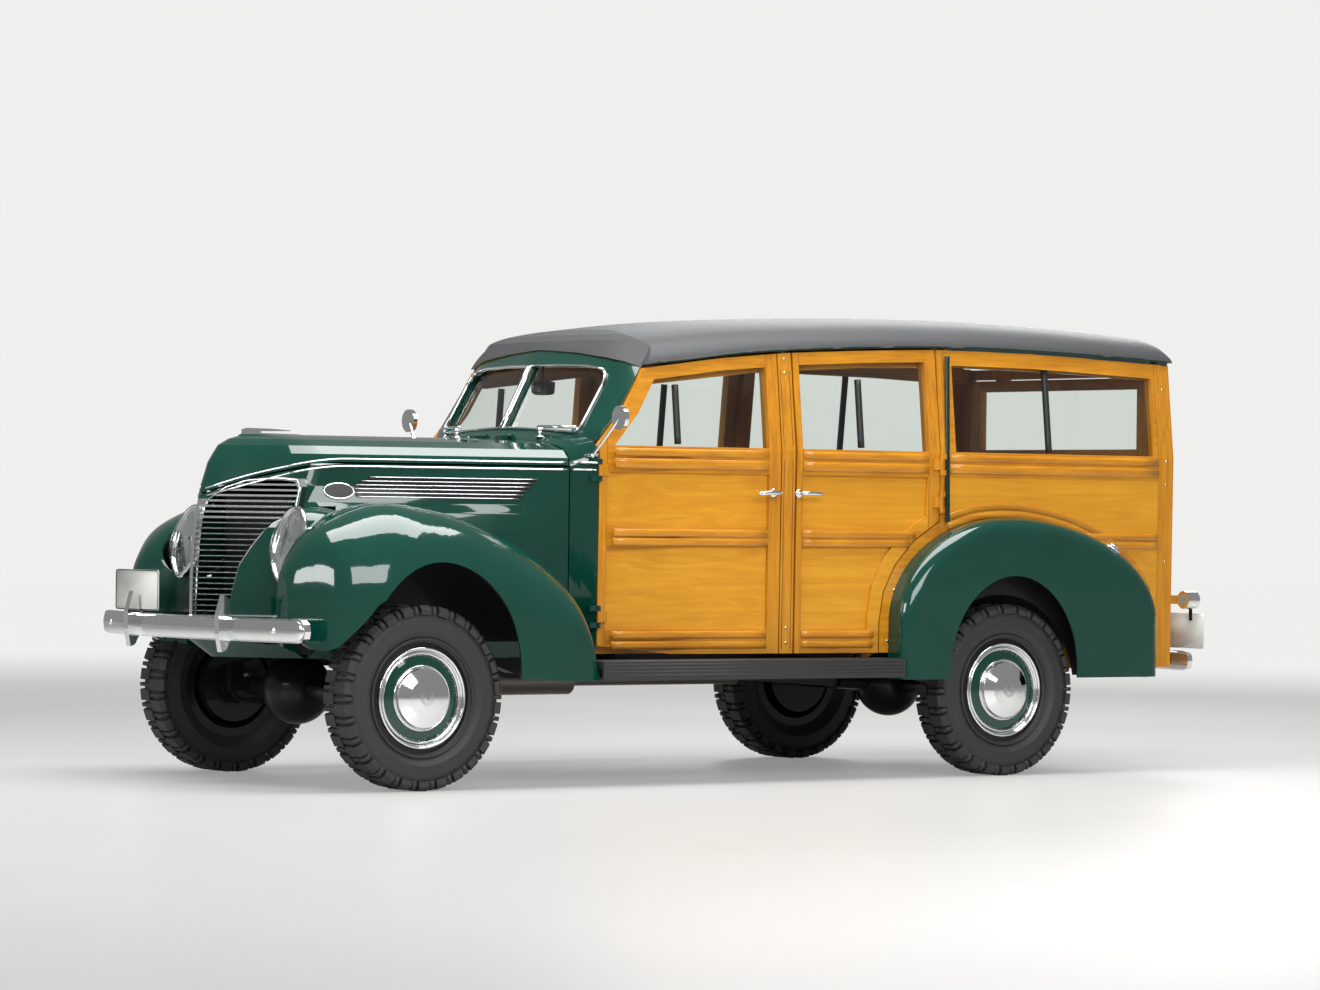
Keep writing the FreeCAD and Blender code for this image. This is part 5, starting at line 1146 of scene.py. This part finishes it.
# Seats: crowned cushions with rolled edges and sewn channels

CHANNELS = 10
CHANNEL_DEEP = 0.011
CHANNEL_WIDE = 0.01
COLUMNS = 56
ROWS = 24
EDGE_SHARE = 0.62
SEAT_FRONTS = {"front": 0.515, "rear": -0.345}
SEAT_DEEP = 0.48
SEAT_WIDE = 1.15
CUSHION = 0.15
BACK_THICK = 0.12
BACK_HEIGHT = 0.52
BACK_GAP = 0.047
RAKE = atan(0.18)
LEG_BACKS = (0.045, 0.43)
LEG_YS = (-0.5, 0.5)
PLINTH_HALF = 0.535


def cushion_point(u, v, layer, size):
    # u and v go from -1 to 1 across and along the cushion, on its upper or lower layer
    wide, deep, high = size
    crown = ((1 - abs(u) ** 8) * (1 - abs(v) ** 6)) ** 0.35
    place = u * CHANNELS / 2
    gap = abs(place - round(place)) * wide / CHANNELS
    pull = 1 - 0.018 * (1 - abs(v) ** 2) * abs(u) ** 6
    swell = (1 - EDGE_SHARE) * crown
    seam = 0.0
    if layer > 0:
        swell *= 1 - 0.12 * (u * u + v * v)
        seam = CHANNEL_DEEP * exp(-(gap / CHANNEL_WIDE) ** 2) * crown
    return at(v * deep / 2 * (1 - 0.02 * abs(u) ** 4), u * wide / 2 * pull,
              layer * high / 2 * (EDGE_SHARE + swell) - seam)


def cushion(name, middle, size, lean):
    verts, faces = [], []
    step = COLUMNS + 1
    half = step * (ROWS + 1)
    for layer in (1, -1):
        for r in range(ROWS + 1):
            for c in range(step):
                verts.append(cushion_point(c / COLUMNS * 2 - 1, r / ROWS * 2 - 1, layer, size))
    for a, b, c, d in grid_faces(ROWS + 1, step):
        faces += [(a, b, c, d), (half + a, half + d, half + c, half + b)]
    rim = list(range(step)) + [r * step + COLUMNS for r in range(1, ROWS + 1)]
    rim += [ROWS * step + c for c in range(COLUMNS - 1, -1, -1)] + [r * step for r in range(ROWS - 1, 0, -1)]
    for a, b in zip(rim, rim[1:] + rim[:1]):
        faces.append((b, a, half + a, half + b))
    turn = Matrix.Rotation(lean, 3, "Y")
    obj = make_piece(name, ([Vector(middle) + turn @ v for v in verts], faces), leather)
    modifier = obj.modifiers.new("round", "SUBSURF")
    modifier.levels = 1
    modifier.render_levels = 1
    return obj


seat_low, seat_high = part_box("seats")
cushion_top = seat_high[2] - BACK_HEIGHT + CUSHION
for label, front in SEAT_FRONTS.items():
    middle = (front - SEAT_DEEP / 2, 0, cushion_top - CUSHION / 2)
    size = (SEAT_WIDE - 0.004, SEAT_DEEP - 0.004, CUSHION - 0.004)
    cushion(label + "_cushion", middle, size, 0.0)
    middle = (front - SEAT_DEEP - BACK_THICK / 2 - BACK_GAP, 0, cushion_top - CUSHION + BACK_HEIGHT / 2)
    size = (SEAT_WIDE - 0.004, BACK_HEIGHT - 0.02, BACK_THICK - 0.012)
    cushion(label + "_backrest", middle, size, pi / 2 - RAKE)
    parts = [sweep([(front - back, y, z) for z in (seat_low[2], cushion_top - CUSHION)], LEFT,
                   rounded(0.014, 0.014, 10)) for back in LEG_BACKS for y in LEG_YS]
    plinth = [(front - 0.24, y, seat_low[2] + 0.09) for y in (-PLINTH_HALF, PLINTH_HALF)]
    parts.append(sweep(plinth, UP, flat(0.2, -0.085, 0.085)))
    make_piece(label + "_seat_frame", join_parts(parts), black, smooth=False)
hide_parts("seats")


# Stage, camera and lights

STAGE_HALF = 40.0
STAGE_COLOR = (0.6, 0.595, 0.58)
STAGE_GLOW = (0.86, 0.86, 0.85, 1)
STAGE_SEEN = 0.3
STAGE_GLOSSY = 0.25
FADE_START = 5.5
FADE_END = 16.0
WORLD_COLOR = (0.9, 0.9, 0.89, 1)
WORLD_SEEN = 0.75
WORLD_GLOSSY = 0.12
WORLD_LIGHT = 0.21


def seen_rays(tree, glossy):
    # 1 for what the camera and glass see, and a share of it for what metal and gloss mirror
    path = add_node(tree, "ShaderNodeLightPath")
    rays = larger(tree, path.outputs["Is Camera Ray"], path.outputs["Is Transmission Ray"])
    return larger(tree, rays, times(tree, path.outputs["Is Glossy Ray"], glossy))


def build_stage():
    mesh = bpy.data.meshes.new("stage_floor")
    corners = [(STAGE_HALF * x, STAGE_HALF * y, 0) for x, y in ((-1, -1), (1, -1), (1, 1), (-1, 1))]
    mesh.from_pydata(corners, [], [(0, 1, 2, 3)])
    floor = add_object("stage_floor", mesh)
    material, tree, shader = new_material("stage_floor")
    tint(tree, shader, noise_node(tree, place_node(tree), 0.7, 3.0), STAGE_COLOR, 1.0, 1.05)
    put(tree, shader, Roughness=0.35)
    # What the camera, metal and glass see of it is a little brighter than the lamps make it
    glow = add_node(tree, "ShaderNodeEmission", Color=STAGE_GLOW)
    # Far from the car the floor goes over into the backdrop
    reach = add_node(tree, "ShaderNodeVectorMath", operation="LENGTH", Vector=place_node(tree))
    fade = add_node(tree, "ShaderNodeMapRange", interpolation_type="SMOOTHSTEP", Value=reach.outputs["Value"],
                    From_Min=FADE_START, From_Max=FADE_END, To_Min=STAGE_SEEN, To_Max=1.0)
    share = times(tree, seen_rays(tree, STAGE_GLOSSY), fade.outputs["Result"])
    mix_shaders(tree, share, shader, glow)
    mesh.materials.append(material)


CAMERA_PLACE = at(11.4389, 16.3829, 1.0927)
CAMERA_YAW = radians(235.132)
CAMERA_PITCH = radians(0.153)
CAMERA_ROLL = radians(0.723)
FOCAL_PIXELS = 4817.9
PHOTO_WIDTH = 1320
SENSOR_WIDTH = 36.0


def build_camera():
    level = cos(CAMERA_PITCH)
    forward = at(cos(CAMERA_YAW) * level, sin(CAMERA_YAW) * level, sin(CAMERA_PITCH))
    right = forward.cross(UP).normalized()
    up = right.cross(forward)
    turned_right = right * cos(CAMERA_ROLL) + up * sin(CAMERA_ROLL)
    turned_up = up * cos(CAMERA_ROLL) - right * sin(CAMERA_ROLL)
    data = bpy.data.cameras.new("camera")
    data.sensor_width = SENSOR_WIDTH
    data.lens = FOCAL_PIXELS * SENSOR_WIDTH / PHOTO_WIDTH
    data.clip_end = 200.0
    camera = add_object("camera", data)
    matrix = Matrix((turned_right, turned_up, -forward)).transposed().to_4x4()
    matrix.translation = CAMERA_PLACE
    camera.matrix_world = matrix
    scene.camera = camera


# Each lamp: its place, what it points at, its size and its power
LAMPS = (
    ("top", (0.5, 1.0, 6.0), (0, 0, 0.8), (7.0, 3.0), 560),
    ("side", (2.0, 8.0, 4.5), (0, 0, 0.9), (7.0, 2.5), 400),
    ("front", (9.0, 2.5, 3.5), (1.5, 0, 0.8), (3.0, 2.0), 200),
    ("back", (-6.0, -5.0, 4.5), (0, 0, 0.9), (5.0, 3.0), 260))


def build_lights():
    for name, place, target, size, power in LAMPS:
        data = bpy.data.lights.new(name, "AREA")
        data.shape = "RECTANGLE"
        data.size, data.size_y = size
        data.energy = power
        light = add_object(name, data)
        light.location = place
        light.rotation_euler = (Vector(target) - Vector(place)).to_track_quat("-Z", "Y").to_euler()
    world = bpy.data.worlds.new("studio")
    world.use_nodes = True
    tree = world.node_tree
    seen = times(tree, seen_rays(tree, WORLD_GLOSSY), WORLD_SEEN)
    put(tree, tree.nodes["Background"], Color=WORLD_COLOR, Strength=plus(tree, seen, WORLD_LIGHT))
    scene.world = world


build_stage()
build_camera()
build_lights()
scene.view_settings.view_transform = "Standard"
